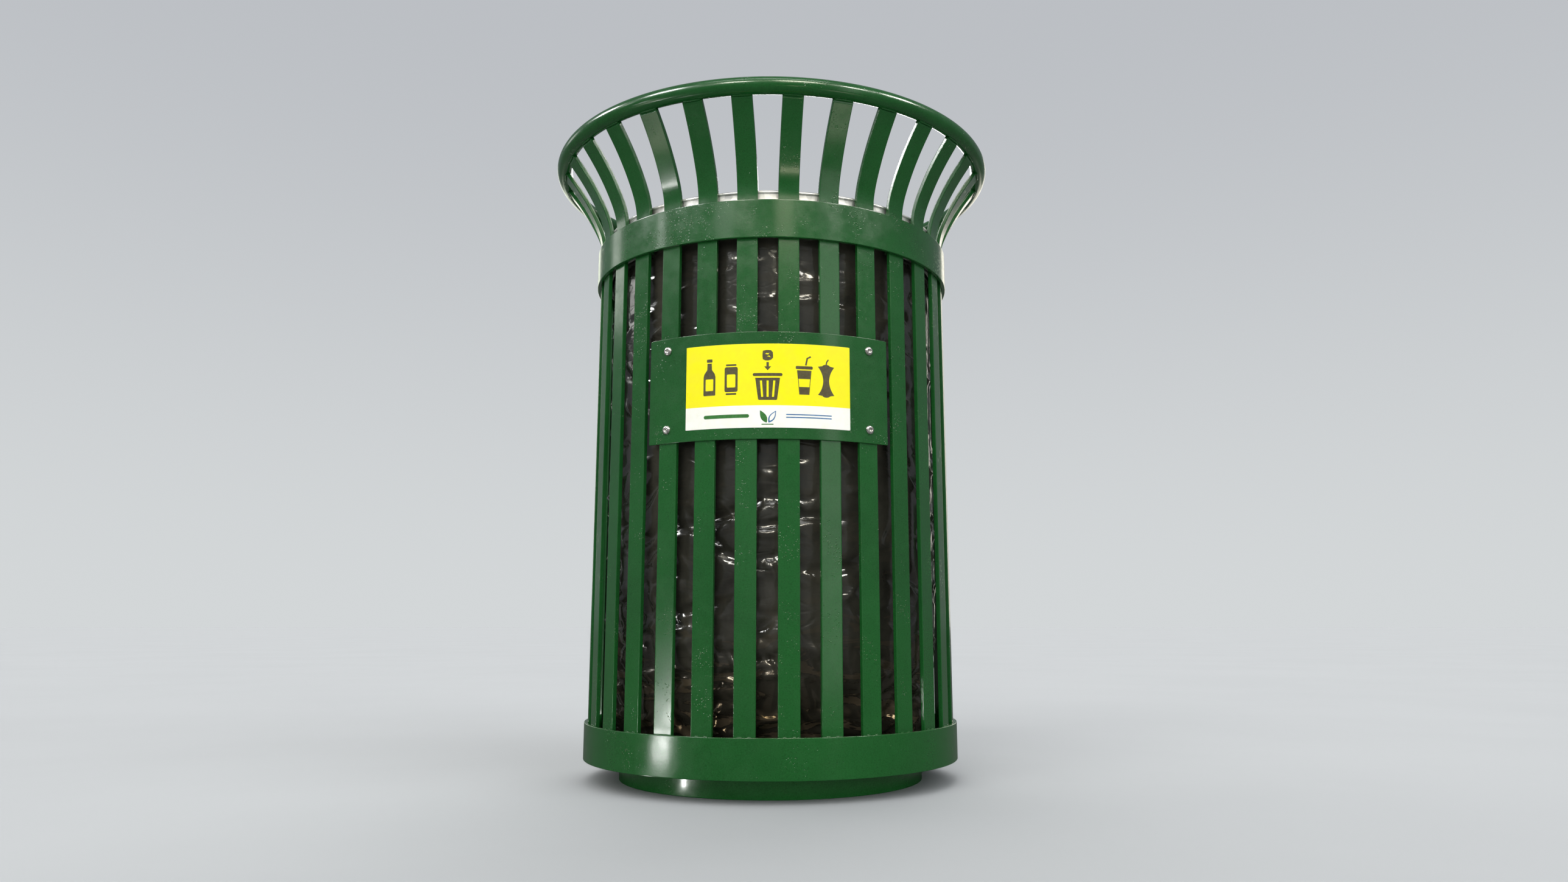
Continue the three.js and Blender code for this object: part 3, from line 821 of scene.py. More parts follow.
def welds(name, lines, radius):
    verts, faces = [], []
    for seed, line in enumerate(lines):
        bead_verts, bead_faces = weld_bead(line, radius, seed)
        first = len(verts)
        verts += bead_verts
        faces += [tuple(first + i for i in face) for face in bead_faces]
    place_painted(outward(make_object(name, verts, faces, GREEN)))


def meet_tube(r, z, reach):
    """Where a line from (r, z) along the slats' end comes within reach of the tube's centre."""
    dr, dz = math.sin(END_LEAN), math.cos(END_LEAN)
    from_r, from_z = r - TUBE_R, z - TUBE_Z
    along = from_r * dr + from_z * dz
    gap = from_r * from_r + from_z * from_z - reach * reach
    travel = -along - math.sqrt(max(along * along - gap, 0))
    return r + dr * travel, z + dz * travel


def rim_weld_lines():
    """One line across the outer and one across the inner face of each slat, at the tube."""
    end_z, end_r = FLARE[-1]
    inner_face = (end_r - SLAT_THICK * math.cos(END_LEAN),
                  end_z + SLAT_THICK * math.sin(END_LEAN))
    half = SLAT_WIDTH / 2 - 0.0008
    lines = []
    for angle in SLAT_ANGLES:
        for start, offset in (((end_r, end_z), 0.0001), (inner_face, -0.0004)):
            r, z = meet_tube(*start, TUBE_SECTION + 0.0003)
            lines.append(turned([(math.sqrt(max(r * r - y * y, 0)) + offset, y, z)
                                 for y in np.linspace(-half, half, 22)], angle))
    return lines


def band_weld_lines():
    """Two short runs per slat along the top edge of each band, on its inner side."""
    return [turned([(0.28835, start + y, top + 0.0002) for y in np.linspace(0, 0.006, 9)], angle)
            for angle in SLAT_ANGLES
            for top in (UPPER_Z1, LOWER_Z1)
            for start in (-0.0095, 0.0035)]


def plinth_weld_lines():
    """Twelve short runs under the floor plate, on the outside of the base ring."""
    lines = []
    radius = PLINTH_OUT + 0.0001
    for i in range(12):
        dx, dy = direction(np.linspace(i * 30 + 4, i * 30 + 15, 40))
        lines.append(np.stack([radius * dx, radius * dy,
                               np.full(40, FLOOR_PLATE_Z0 - 0.0002)], 1))
    return lines


welds("rim_welds", rim_weld_lines(), radius=0.0016)
welds("band_welds", band_weld_lines(), radius=0.0008)
welds("plinth_welds", plinth_weld_lines(), radius=0.0019)


# ----------------------------------------------------- sign plate and label

def curved_sheet(name, half_angle, radii, heights, corner, edge, material, count):
    """A sheet bent round the bin's axis, with rounded edges and rounded face corners."""
    (r0, r1), (z0, z1) = radii, heights
    middle = (r0 + r1) / 2
    edge_angle = math.degrees(edge / middle)
    # stations across the sheet: angle, inset of the section
    end = []
    for i in range(5):
        a = math.radians(90 * i / 4)
        end.append((-half_angle + edge_angle * (1 - math.cos(a)),
                    edge * (1 - math.sin(a)) * 0.98))
    limit = half_angle - edge_angle
    stations = end + [(angle, 0.0) for angle in np.linspace(-limit, limit, count)[1:-1]]
    stations += [(-angle, inset) for angle, inset in reversed(end)]
    rings = []
    for angle, inset in stations:
        to_end = (half_angle - abs(angle)) * math.pi / 180 * middle
        drop = 0.0
        if to_end < corner:
            drop = corner - math.sqrt(max(corner**2 - (corner - to_end) ** 2, 0))
        trim = max(drop, inset)
        section = rounded_rect(r0 + inset, r1 - inset, z0 + trim, z1 - trim,
                               max(edge - inset, 0.00005), support=0.0006)
        dx, dy = direction(angle)
        rings.append([(r * dx, r * dy, z) for r, z in section])
    return loft(name, rings, material)


plate = curved_sheet("sign_plate_sheet", 36.5, (PLATE_IN, PLATE_OUT), (PLATE_Z0, PLATE_Z1),
                     corner=0.0012, edge=0.0006, material=GREEN_SIGN, count=110)
place(plate, "frame", "sign_plate")

VINYL = vinyl_material("label_vinyl", LABEL_Z0 + STRIP_TOP / 1000)
label = curved_sheet("sign_label_sheet", 23.7, (LABEL_IN, LABEL_OUT), (LABEL_Z0, LABEL_Z1),
                     corner=0.0006, edge=0.0001, material=VINYL, count=90)
place(label, "frame", "sign_label")

# ---------------------------------------------------------------- label print
# Shapes are (ink, [outline, holes...]) in millimetres: x from the label's centre line,
# y from its lower edge. Pictures stand above the white strip.

INKS = (ink_material("ink_dark", (72, 64, 30)),
        ink_material("ink_green", (34, 104, 30)),
        ink_material("ink_blue", (52, 104, 150)))
DARK_INK, GREEN_INK, BLUE_INK = range(3)


def bar(x0, x1, y0, y1, radius=None):
    """Rounded bar, with half-round ends if no radius is given."""
    if radius is None:
        radius = min((y1 - y0) / 2, (x1 - x0) / 2)
    return sum(corner_arcs(x0, x1, y0, y1, radius, steps=8), [])


def picture_bar(centre, half, y0, y1, radius=None):
    return bar(centre - half, centre + half, STRIP_TOP + y0, STRIP_TOP + y1, radius)


def picture_points(centre, points):
    return [(centre + x, STRIP_TOP + y) for x, y in points]


def thick_line(points, width):
    """Outline of an open line with square ends."""
    points = np.asarray(points, float)
    along = np.gradient(points, axis=0)
    along /= np.linalg.norm(along, axis=1)[:, None]
    across = np.stack([-along[:, 1], along[:, 0]], 1) * width / 2
    return [tuple(p) for p in np.concatenate([points + across, (points - across)[::-1]])]


def bin_picture():
    """In the middle: a slotted bin, a ball of paper above it and an arrow down."""
    body = picture_points(0, [(-17.6, 39.6), (-13.4, 8.8), (-12.2, 7.6),
                              (12.2, 7.6), (13.4, 8.8), (17.6, 39.6)])
    slots = []
    for k in (-1, 0, 1):
        top, foot = k * 9.4, k * 7.6
        slots.append(picture_points(0, [(top - 1.45, 35.6), (top + 1.45, 35.6),
                                        (foot + 1.45, 12.0), (foot - 1.45, 12.0)]))
    rng = np.random.default_rng(11)
    ball = []
    for i in range(13):
        a = 2 * math.pi * i / 13
        r = 8.2 * (1 + rng.uniform(-0.10, 0.13))
        ball.append((r * math.cos(a), STRIP_TOP + 72.5 + r * math.sin(a)))
    creases = [picture_points(0, [(-3.6, 74.4), (-0.4, 76.2), (-1.0, 74.9),
                                  (2.6, 75.6), (0.6, 73.2), (-1.6, 73.6)]),
               picture_points(0, [(-1.2, 70.6), (2.2, 71.8), (4.4, 69.4), (1.6, 70.0)])]
    arrow = picture_points(0, [(-1.7, 62.2), (-1.7, 56.0), (-4.9, 56.0), (0, 50.2),
                               (4.9, 56.0), (1.7, 56.0), (1.7, 62.2)])
    return [[picture_bar(0, 21, 42.0, 46.4)], [body] + slots, [ball] + creases, [arrow]]


def can_picture(centre):
    return [[picture_bar(centre, 9.5, 20, 56, 2.6), picture_bar(centre, 6.2, 26.5, 45.5, 1.6)],
            [picture_bar(centre, 7.6, 57.6, 60.2, 1.0)],
            [picture_bar(centre, 7.6, 15.8, 18.4, 1.0)]]


def bottle_picture(centre):
    bottle = [(-8.2, 16), (8.2, 16), (9.0, 17.2), (9.0, 43), (7.8, 47.5), (3.6, 53.5),
              (3.2, 63), (-3.2, 63), (-3.6, 53.5), (-7.8, 47.5), (-9.0, 43), (-9.0, 17.2)]
    return [[picture_points(centre, bottle), picture_bar(centre, 5.8, 23, 40, 1.2)],
            [picture_bar(centre, 4.2, 64.4, 69, 1.0)]]


def cup_picture(centre):
    """A paper cup with a lid and a bent straw."""
    cup = [(-7.2, 16), (7.2, 16), (10.4, 51), (-10.4, 51)]
    window = [(-8.3, 38.6), (8.3, 38.6), (7.3, 27.0), (-7.3, 27.0)]
    straw = picture_points(centre, [(2.2, 58.4), (4.4, 68.6), (9.4, 71.2)])
    return [[picture_points(centre, cup), picture_points(centre, window)],
            [picture_bar(centre, 12.2, 52.6, 57.2, 1.4)],
            [thick_line(straw, 2.4)]]


def apple_picture(centre):
    """An apple core with a stalk."""
    right = [(centre + 5.2 + 7.0 * abs(t) ** 2.2 - 0.8 * (1 - abs(t)),
              STRIP_TOP + 37 + 20.5 * t) for t in np.linspace(-1, 1, 25)]
    left = [(2 * centre - x, y) for x, y in right[::-1]]

    def end(y, start, stop):
        return [(centre + 6 * math.cos(a), STRIP_TOP + y + 3.4 * math.sin(a))
                for a in np.radians(np.linspace(start, stop, 9))]

    stalk = picture_points(centre, [(0, 60), (0.8, 64.5), (3.4, 68.5)])
    return [[right + end(57.5, 20, 160) + left + end(16.5, 200, 340)],
            [thick_line(stalk, 1.9)]]


def leaf(cx, cy, length, width, tilt):
    points = [(t * length, width * math.sin(math.pi * t) ** 0.85 * (1.15 - 0.5 * t))
              for t in np.linspace(0, 1, 22)]
    points += [(x, -y) for x, y in points[-2:0:-1]]
    cos_tilt, sin_tilt = math.cos(math.radians(tilt)), math.sin(math.radians(tilt))
    return [(cx + x * cos_tilt - y * sin_tilt, cy + x * sin_tilt + y * cos_tilt)
            for x, y in points]


def strip_shapes():
    """In the white strip: rules at both sides, and two leaves over a short bar."""
    return [
        (GREEN_INK, [bar(-92, -26, 14.2, 19.4)]),
        (BLUE_INK, [bar(26, 92, 18.0, 19.6)]),
        (BLUE_INK, [bar(26, 92, 14.0, 15.6)]),
        (GREEN_INK, [leaf(-1.2, 7.0, length=20, width=4.6, tilt=118)]),
        (BLUE_INK, [leaf(1.4, 7.0, length=20, width=4.6, tilt=58),
                    leaf(3.0, 9.6, length=14.8, width=2.9, tilt=58)]),
        (GREEN_INK, [bar(-8.5, 8.5, 3.9, 5.3)]),
    ]


def make_print():
    pictures = (bin_picture() + can_picture(-52) + bottle_picture(-84)
                + cup_picture(52) + apple_picture(84))
    bm = bmesh.new()
    for ink, outlines in [(DARK_INK, picture) for picture in pictures] + strip_shapes():
        mesh = flat_mesh("ink", outlines, fill_mode="FRONT")
        first = len(bm.faces)
        bm.from_mesh(mesh)
        bpy.data.meshes.remove(mesh)
        bm.faces.ensure_lookup_table()
        for face in bm.faces[first:]:
            face.material_index = ink
    # cut into narrow columns so that it follows the curve, give it a skin and wrap it
    for x in np.arange(-118, 119, 2.0):
        geom = bm.verts[:] + bm.edges[:] + bm.faces[:]
        bmesh.ops.bisect_plane(bm, geom=geom, dist=1e-5, plane_co=(x, 0, 0),
                               plane_no=(1, 0, 0))
    inner, outer = LABEL_OUT - 0.00002, LABEL_OUT + 0.00006
    extruded = bmesh.ops.extrude_face_region(bm, geom=bm.faces[:])
    skin = {e for e in extruded["geom"] if isinstance(e, bmesh.types.BMVert)}
    for vert in bm.verts:
        r = outer if vert in skin else inner
        a = vert.co.x / 1000 / outer
        vert.co = Vector((r * math.sin(a), -r * math.cos(a), LABEL_Z0 + vert.co.y / 1000))
    bmesh.ops.recalc_face_normals(bm, faces=bm.faces)
    mesh = bpy.data.meshes.new("sign_label_print")
    bm.to_mesh(mesh)
    bm.free()
    for ink in INKS:
        mesh.materials.append(ink)
    place(add_object("sign_label_print", mesh), "frame")


make_print()


# ---------------------------------------------------------- screws and nuts

def hexagon(flats, count, k):
    """Point k of count points round a hexagon of a given width across flats."""
    a = 2 * math.pi * k / count
    from_flat = (math.degrees(a) + 30) % 60 - 30
    r = flats / 2 / math.cos(math.radians(from_flat))
    return r * math.cos(a), r * math.sin(a)


def button_screw(name, node, angle, z, spin):
    """Button head with a hexagon socket, standing on the plate."""
    count = 48
    seat, tip = PLATE_OUT, 0.2748
    shank, head_r, head_h = 0.0030, 0.00625, 0.0036
    top = seat + head_h

    def circle(r, x):
        angles = [2 * math.pi * k / count for k in range(count)]
        return [(x, r * math.cos(a), r * math.sin(a)) for a in angles]

    # radius, distance from the bin's axis
    profile = [(0.0022, tip), (shank, tip + 0.0007), (shank, seat - 0.0001),
               (head_r - 0.0003, seat + 0.00002), (head_r, seat + 0.0003),
               (head_r, seat + 0.0007)]
    for t in np.linspace(0.12, 1.0, 9):
        a = t * math.pi / 2
        profile.append((shank + (head_r - shank) * math.cos(a) ** 0.9,
                        seat + 0.0007 + (head_h - 0.0007) * math.sin(a)))
    profile += [(0.00275, top - 0.00005), (0.00255, top - 0.00035)]
    rings = [circle(r, x) for r, x in profile]
    # socket: depth below the head's top, scale
    for depth, scale in ((0.00055, 1.0), (0.0008, 0.97), (0.0022, 0.96), (0.0023, 0.80)):
        corners = [hexagon(0.0040, count, k) for k in range(count)]
        rings.append([(top - depth, y * scale, w * scale) for y, w in corners])
    rings.append(circle(0.0005, top - 0.0028))
    cos_spin, sin_spin = math.cos(spin), math.sin(spin)
    rings = [turned([(x, y * cos_spin - w * sin_spin, y * sin_spin + w * cos_spin)
                     for x, y, w in ring], angle, z) for ring in rings]
    place(loft(name, rings, STAINLESS), "frame", node)


def hex_nut(name, node, flats, bore, height, centre, axis, material):
    """A chamfered nut; centre is the middle of its first face, axis its direction."""
    count = 36
    chamfer = 0.0006
    land = flats / 2 * 0.96

    def circle(r, z):
        angles = [2 * math.pi * k / count for k in range(count)]
        return [(r * math.cos(a), r * math.sin(a), z) for a in angles]

    def hex_ring(top, lift=0):
        ring = []
        for k in range(count):
            x, y = hexagon(flats, count, k)
            drop = max(math.hypot(x, y) - flats / 2 * 0.985, 0) * math.tan(math.radians(30))
            ring.append((x, y, (height - drop if top else drop) + lift))
        return ring

    rows = [circle(bore / 2, chamfer), circle(bore / 2 + chamfer, 0), circle(land, 0),
            hex_ring(False), hex_ring(False, 0.0003), hex_ring(True, -0.0003), hex_ring(True),
            circle(land, height), circle(bore / 2 + chamfer, height),
            circle(bore / 2, height - chamfer)]
    turn = Vector((0, 0, 1)).rotation_difference(Vector(axis).normalized()).to_matrix()
    verts = [turn @ Vector(point) + Vector(centre) for row in rows for point in row]
    ob = outward(make_object(name, verts, grid_faces(len(rows), count, wrap_rows=True),
                             material))
    shade(ob.data, True)
    ob.modifiers.new("edges", "WEIGHTED_NORMAL").keep_sharp = True
    place(ob, "frame", node)


def sign_fasteners():
    """Four screws through the plate and two slats, with nuts on the slats' inner faces."""
    rng = np.random.default_rng(36)
    seat = SLAT_R - SLAT_THICK
    places = [(angle, z) for z in (0.6272, 0.5110) for angle in (-30, 30)]
    for i, (angle, z) in enumerate(places, 1):
        button_screw(f"sign_screw_{i}_button", f"sign_screw_{i}", angle, z,
                     spin=rng.uniform(0, math.pi))
        dx, dy = direction(angle)
        hex_nut(f"sign_nut_{i}_hex", f"sign_nut_{i}", flats=0.010, bore=0.0061, height=0.005,
                centre=(seat * dx, seat * dy, z), axis=(-dx, -dy, 0),
                material=STAINLESS)


sign_fasteners()

# ----------------------------------------------------------- levelling feet

# pad, from its underside over the rim to the top of its neck: radius, height
PAD_PROFILE = [
    (0, 0.0010), (0.0060, 0.0010), (0.0065, 0), (0.0182, 0), (0.0188, 0.0003),
    (0.0200, 0.0016), (0.0200, 0.0048), (0.0197, 0.0053), (0.0150, 0.0069),
    (0.0140, 0.0070), (0.0096, 0.0070), (0.0090, 0.0076), (0.0088, 0.0114),
    (0.0083, 0.0119), (0, 0.0120),
]
THREAD_ROOT, THREAD_CREST, THREAD_PITCH = 0.0043, 0.0049, 0.0015


def turned_part(name, profile, cx, cy, material, segments):
    """Solid of revolution about a vertical axis at (cx, cy), from (r, z) points."""
    profile = np.array(profile, float)
    r, z = profile[:, 0], profile[:, 1]
    verts = []
    for k in range(segments):
        a = 2 * math.pi * k / segments
        verts.append(np.stack([cx + r * math.cos(a), cy + r * math.sin(a), z], 1))
    faces = grid_faces(segments, len(profile), wrap_rows=True, wrap_cols=False)
    ob = make_object(name, np.concatenate(verts), faces, material)
    with editing(ob.data) as bm:
        bmesh.ops.remove_doubles(bm, verts=bm.verts, dist=1e-7)
    return outward(ob)


def stud_profile(bottom, top):
    profile = [(0, bottom + 0.008), (THREAD_ROOT, bottom + 0.008)]
    z = bottom + 0.0125
    while z < top - 0.0021:
        profile += [(THREAD_ROOT, z), (THREAD_CREST, z + 0.0006),
                    (THREAD_CREST, z + 0.0009), (THREAD_ROOT, z + 0.0014)]
        z += THREAD_PITCH
    return profile + [(THREAD_ROOT, top - 0.0009), (0.0036, top), (0, top)]


def levelling_foot(i, angle):
    dx, dy = direction(angle)
    cx, cy = FOOT_CIRCLE * dx, FOOT_CIRCLE * dy
    foot = f"levelling_foot_{i}"
    bottom, top = z_span(foot)
    pad = turned_part(f"{foot}_pad", [(r, bottom + z) for r, z in PAD_PROFILE],
                      cx, cy, NYLON, 64)
    place(pad, f"foot_{i}", foot)
    stud = turned_part(f"{foot}_stud", stud_profile(bottom, top), cx, cy, ZINC, 32)
    place(stud, f"foot_{i}")
    nut = f"foot_nut_{i}"
    nut_z0, nut_z1 = z_span(nut)
    hex_nut(f"{nut}_hex", nut, flats=0.017, bore=0.0103, height=nut_z1 - nut_z0,
            centre=(cx, cy, nut_z0), axis=(0, 0, 1), material=ZINC)


for number, foot_angle in enumerate(FOOT_ANGLES, 1):
    levelling_foot(number, foot_angle)

# ------------------------------------------- bag ring, clamp hoop, brackets

RING_OUT = 0.2795
RING_THICK = 0.0018
RING_EDGE = 0.0003
RING_BEAD = 0.0026                         # radius of the bead along the top edge


def bag_ring_profile():
    inner = RING_OUT - RING_THICK
    wall_top = RING_Z1 - 0.006
    profile = [(inner, RING_Z0 + RING_EDGE), (inner + RING_EDGE, RING_Z0),
               (RING_OUT - RING_EDGE, RING_Z0), (RING_OUT, RING_Z0 + RING_EDGE)]
    profile += [(RING_OUT, z) for z in np.linspace(RING_Z0, wall_top, 8)[1:]]
    for a in np.radians(np.linspace(-62, 242, 15)):
        profile.append((RING_OUT - RING_THICK / 2 + RING_BEAD * math.cos(a),
                        RING_Z1 - RING_BEAD + RING_BEAD * math.sin(a)))
    return profile + [(inner, z) for z in np.linspace(wall_top, RING_Z0, 8)[:-1]]


def ring_shift(angle, r, z):
    """Slight waves in the sheet and along its top edge."""
    x, y = math.cos(math.radians(angle)) * 3.1, math.sin(math.radians(angle)) * 3.1
    waves = 0.00035 * noise3(x, y, z * 14) + 0.00018 * noise3(x * 5, y * 5, z * 60)
    return waves, 0.0003 * noise3(x * 2, y * 2, 7.7) * (z > RING_Z1 - 0.008)


place(lathe("bag_ring_sheet", bag_ring_profile(), GALV, 360, ring_shift),
      "ring", "bag_ring")
place(lathe("clamp_hoop_bar", rounded_rect(0.2706, 0.2745, CLAMP_Z0, CLAMP_Z1, 0.0006),
            GALV_HOOP, 240), "bag_set", "clamp_hoop")

for number in range(1, 5):
    bracket = frame["nodes"][f"ring_bracket_{number}"]
    configure(bracket.modifiers.new("edges", "BEVEL"), width=0.0006, segments=2,
              limit_method="ANGLE")
    bracket.data.materials.clear()
    bracket.data.materials.append(GREEN)
    shade(bracket.data, False)

# ---------------------------------------------------------------------- bag

# the sheet from the cuff's edge, up outside the hoop, over it, down the inside and
# across the floor: radius, height
BAG_KEYS = [
    (0.2762, 0.8062), (0.2762, 0.8300), (0.2762, 0.8525), (0.2757, 0.8552),
    (0.2735, 0.8566), (0.2712, 0.8566), (0.2697, 0.8552), (0.2692, 0.8520),
    (0.2690, 0.8250), (0.2690, 0.7900), (0.2680, 0.7700), (0.2665, 0.6800),
    (0.2655, 0.5600), (0.2645, 0.4200), (0.2640, 0.3000), (0.2620, 0.2150),
    (0.2570, 0.1550), (0.2480, 0.1150), (0.2330, 0.0860), (0.2100, 0.0630),
    (0.1780, 0.0530), (0.1300, 0.0500), (0.0700, 0.0500), (0.0100, 0.0500),
]
CUFF_END, HOOP_END = 2, 7                  # keys where the cuff and the bend over the hoop end
WALL_R = 0.2698                            # how far the film may swell, clear of slats
FLOOR_Z = 0.0450                           # where it rests, clear of the floor plate
BAG_LOW = 0.009                            # depth of the first folds near the bottom
BAG_DROP = 0.060                           # how far the bottom starts below its place


def bag_sheet(around, step):
    """The hanging sheet, how firmly each row is held, and its rows and columns."""
    keys = np.array(BAG_KEYS)
    lengths = np.linalg.norm(np.diff(keys, axis=0), axis=1)
    key_at = np.concatenate([[0], np.cumsum(lengths)])
    cuff_end, hoop_end = key_at[CUFF_END], key_at[HOOP_END]
    t = np.concatenate([np.linspace(0, cuff_end, 9)[:-1],
                        np.linspace(cuff_end, hoop_end, 9)[:-1],
                        np.arange(hoop_end, key_at[-1], step), [key_at[-1]]])
    row_r, row_z = np.interp(t, key_at, keys[:, 0]), np.interp(t, key_at, keys[:, 1])
    angles = np.arange(around) / around * 2 * np.pi
    r, theta = np.meshgrid(row_r, angles, indexing="ij")
    z, _ = np.meshgrid(row_z, angles, indexing="ij")
    along, _ = np.meshgrid(t, angles, indexing="ij")
    free = smoothstep(0.845, 0.78, z) * (along > hoop_end)
    cx, cy = np.cos(theta), np.sin(theta)
    # shallow unevenness where the folds start
    r = (r - free * 0.002 * (noise3(cx * 6, cy * 6, z * 3) + 1)
         - free * 0.0015 * noise3(cx * 14, cy * 14, z * 14))
    z = z + free * 0.0015 * noise3(cx * 9 + 4, cy * 9, z * 16)
    # deeper folds low down
    low = smoothstep(0.30, 0.12, z)
    warp = 2.5 * noise3(cx * 2, cy * 2, z * 5)
    r = r - (low * BAG_LOW * (noise3(cx * 3.2 + 11, cy * 3.2, z * 30 + warp) + 0.6)
             * smoothstep(0.05, 0.09, z))
    z = z - BAG_DROP * smoothstep(0.80, 0.10, z)
    # a little flutter on the cuff
    cuff = along < cuff_end
    r = r + (cuff * 0.00040 * noise3(cx * 26, cy * 26, z * 30)
             * smoothstep(0.850, 0.835, z))
    z = z + cuff * 0.0022 * noise3(cx * 9, cy * 9, 2.5) * smoothstep(0.83, 0.807, z)
    verts = np.stack([r * np.sin(theta), -r * np.cos(theta), z], -1).reshape(-1, 3)
    rows = len(row_r)
    faces = grid_faces(rows, around)
    last, centre = (rows - 1) * around, len(verts)
    verts = np.vstack([verts, [[0, 0, BAG_KEYS[-1][1] - BAG_DROP]]])
    faces += [(last + (j + 1) % around, last + j, centre) for j in range(around)]
    held = np.clip((t <= hoop_end) * 1.0 + smoothstep(0.812, 0.835, row_z), 0, 1)
    return verts, faces, held, rows


def film_outward(mesh):
    """Make the sheet's normals agree, pointing away from the axis on the wall."""
    with editing(mesh) as bm:
        bmesh.ops.recalc_face_normals(bm, faces=bm.faces)

        def off_side(face):
            middle = face.calc_center_median()
            return abs(middle.z - 0.4) + abs(middle.y)

        sample = min(bm.faces, key=off_side)
        middle = sample.calc_center_median()
        if sample.normal.dot(Vector((middle.x, middle.y, 0))) < 0:
            bmesh.ops.reverse_faces(bm, faces=bm.faces)


def guide(name, profile):
    """A round surface from (r, z) points that the film cannot pass."""
    around, cols = 96, len(profile)
    verts, faces = [], []
    for k in range(around):
        a = 2 * math.pi * k / around
        verts += [(r * math.cos(a), r * math.sin(a), z) for r, z in profile]
        this, after = k * cols, (k + 1) % around * cols
        faces += [(this + j, after + j, after + j + 1, this + j + 1) for j in range(cols - 1)]
    mesh = bpy.data.meshes.new(name)
    mesh.from_pydata(verts, [], faces)
    ob = add_object(name, mesh)
    ob.modifiers.new("Collision", "COLLISION")
    configure(ob.collision, thickness_outer=0.001, thickness_inner=0.012, cloth_friction=4)
    return ob


def bake(ob):
    """Replace an object's mesh by its evaluated one."""
    done = evaluated_mesh(ob)
    ob.modifiers.clear()
    ob.vertex_groups.clear()
    ob.data = done


def settle(ob, held, rows, cols, frames):
    """Let the film hang while the floor comes up under it, so that it swells and creases."""
    group = ob.vertex_groups.new(name="held")
    for i in range(rows):
        if held[i] > 0:
            group.add(list(range(i * cols, (i + 1) * cols)), float(held[i]), "REPLACE")
    wall_r = WALL_R + 0.0012
    wall = guide("guide_wall", [(wall_r, 0.83), (wall_r, 0.44), (wall_r, -0.05),
                                (WALL_R + 0.002, -0.05)])
    base = guide("guide_floor", [(WALL_R + 0.004, 0.0), (0.12, 0.0), (0.0, 0.0)])
    base.location.z = FLOOR_Z - 0.001 - BAG_DROP
    base.keyframe_insert("location", frame=1)
    base.keyframe_insert("location", frame=2)
    base.location.z = FLOOR_Z - 0.001
    base.keyframe_insert("location", frame=int(frames * 0.62))
    cloth = ob.modifiers.new("Cloth", "CLOTH")
    configure(cloth.settings, quality=5, mass=0.1, air_damping=1,
              tension_stiffness=30, compression_stiffness=30, shear_stiffness=10,
              bending_stiffness=0.05, tension_damping=2, compression_damping=2,
              shear_damping=2, bending_damping=0.5, vertex_group_mass="held",
              shrink_min=-0.012, use_pressure=True, uniform_pressure_force=0.4)
    cloth.settings.effector_weights.gravity = 2.0
    configure(cloth.collision_settings, use_collision=True, distance_min=0.001,
              collision_quality=2, use_self_collision=False)
    configure(cloth.point_cache, frame_start=1, frame_end=frames)
    configure(scene, frame_start=1, frame_end=frames)
    for f in range(1, frames + 1):
        scene.frame_set(f)
    bake(ob)
    for surface in (wall, base):
        bpy.data.objects.remove(surface)
    scene.frame_set(1)
    configure(scene, frame_start=1, frame_end=1)


def draw_crease(rng, ring, sweeping):
    """Place round the ring, z, half-length, width, height, tilt and bow of one crease."""
    u0 = rng.uniform(-ring / 2, ring / 2)
    z0 = 0.06 + 0.70 * rng.uniform(0, 1) ** 1.25
    length = rng.uniform(0.012, 0.038) * (1.5 if z0 < 0.2 else 1)
    width = rng.uniform(0.0036, 0.0062)
    height = (rng.choice([-1, 1]) * rng.uniform(0.0014, 0.0038)
              * (1 + 0.5 * float(smoothstep(0.50, 0.20, z0))))
    tilt = math.radians(rng.normal(0, 26))
    bow = rng.uniform(-9, 16)
    if sweeping:
        # drawn after the values above, so that the order of draws stays the same
        z0 = rng.uniform(0.17, 0.42)
        length = rng.uniform(0.05, 0.10)
        width = rng.uniform(0.0065, 0.0100)
        height = -rng.uniform(0.0040, 0.0070)
        bow = rng.uniform(1, 5)
        tilt = math.radians(rng.choice([-1, 1]) * rng.uniform(8, 38))
    return u0, z0, length, width, height, tilt, bow


def wall_creases(theta, z):
    """Outward push of 900 bowed creases, the last 34 of them long sweeping folds low down."""
    rng = np.random.default_rng(77)
    push = np.zeros(len(z))
    arc = theta * 0.266
    ring = 2 * math.pi * 0.266
    for i in range(900):
        u0, z0, length, width, height, tilt, bow = draw_crease(rng, ring, i >= 866)
        du = (arc - u0 + ring / 2) % ring - ring / 2
        dz = z - z0
        near = (np.abs(du) < length * 1.3) & (np.abs(dz) < length * 1.3 + 3 * width)
        if not near.any():
            continue
        x = du[near] * math.cos(tilt) + dz[near] * math.sin(tilt)
        y = -du[near] * math.sin(tilt) + dz[near] * math.cos(tilt) - bow * x * x
        along = np.clip(1 - (x / length) ** 2, 0, 1) ** 1.5
        lopsided = 1 - 0.9 * y / width * np.sign(height)
        push[near] += height * along * np.exp(-((y / width) ** 2)) * lopsided
    return push


def floor_folds(x, y):
    """Height of the wandering crumples of the bag's bottom."""
    wx = 0.034 * noise3(x * 8, y * 8, 1.1)
    wy = 0.034 * noise3(x * 8, y * 8, 9.4)
    large = (1 - np.abs(noise3((x + wx) * 14, (y + wy) * 14, 3.3))) ** 5
    small = (1 - np.abs(noise3((x - wy) * 29, (y + wx) * 29, 6.1))) ** 4
    return 0.0105 * large + 0.0042 * small + 0.0007 * (noise3(x * 70, y * 70, 8.1) + 1)


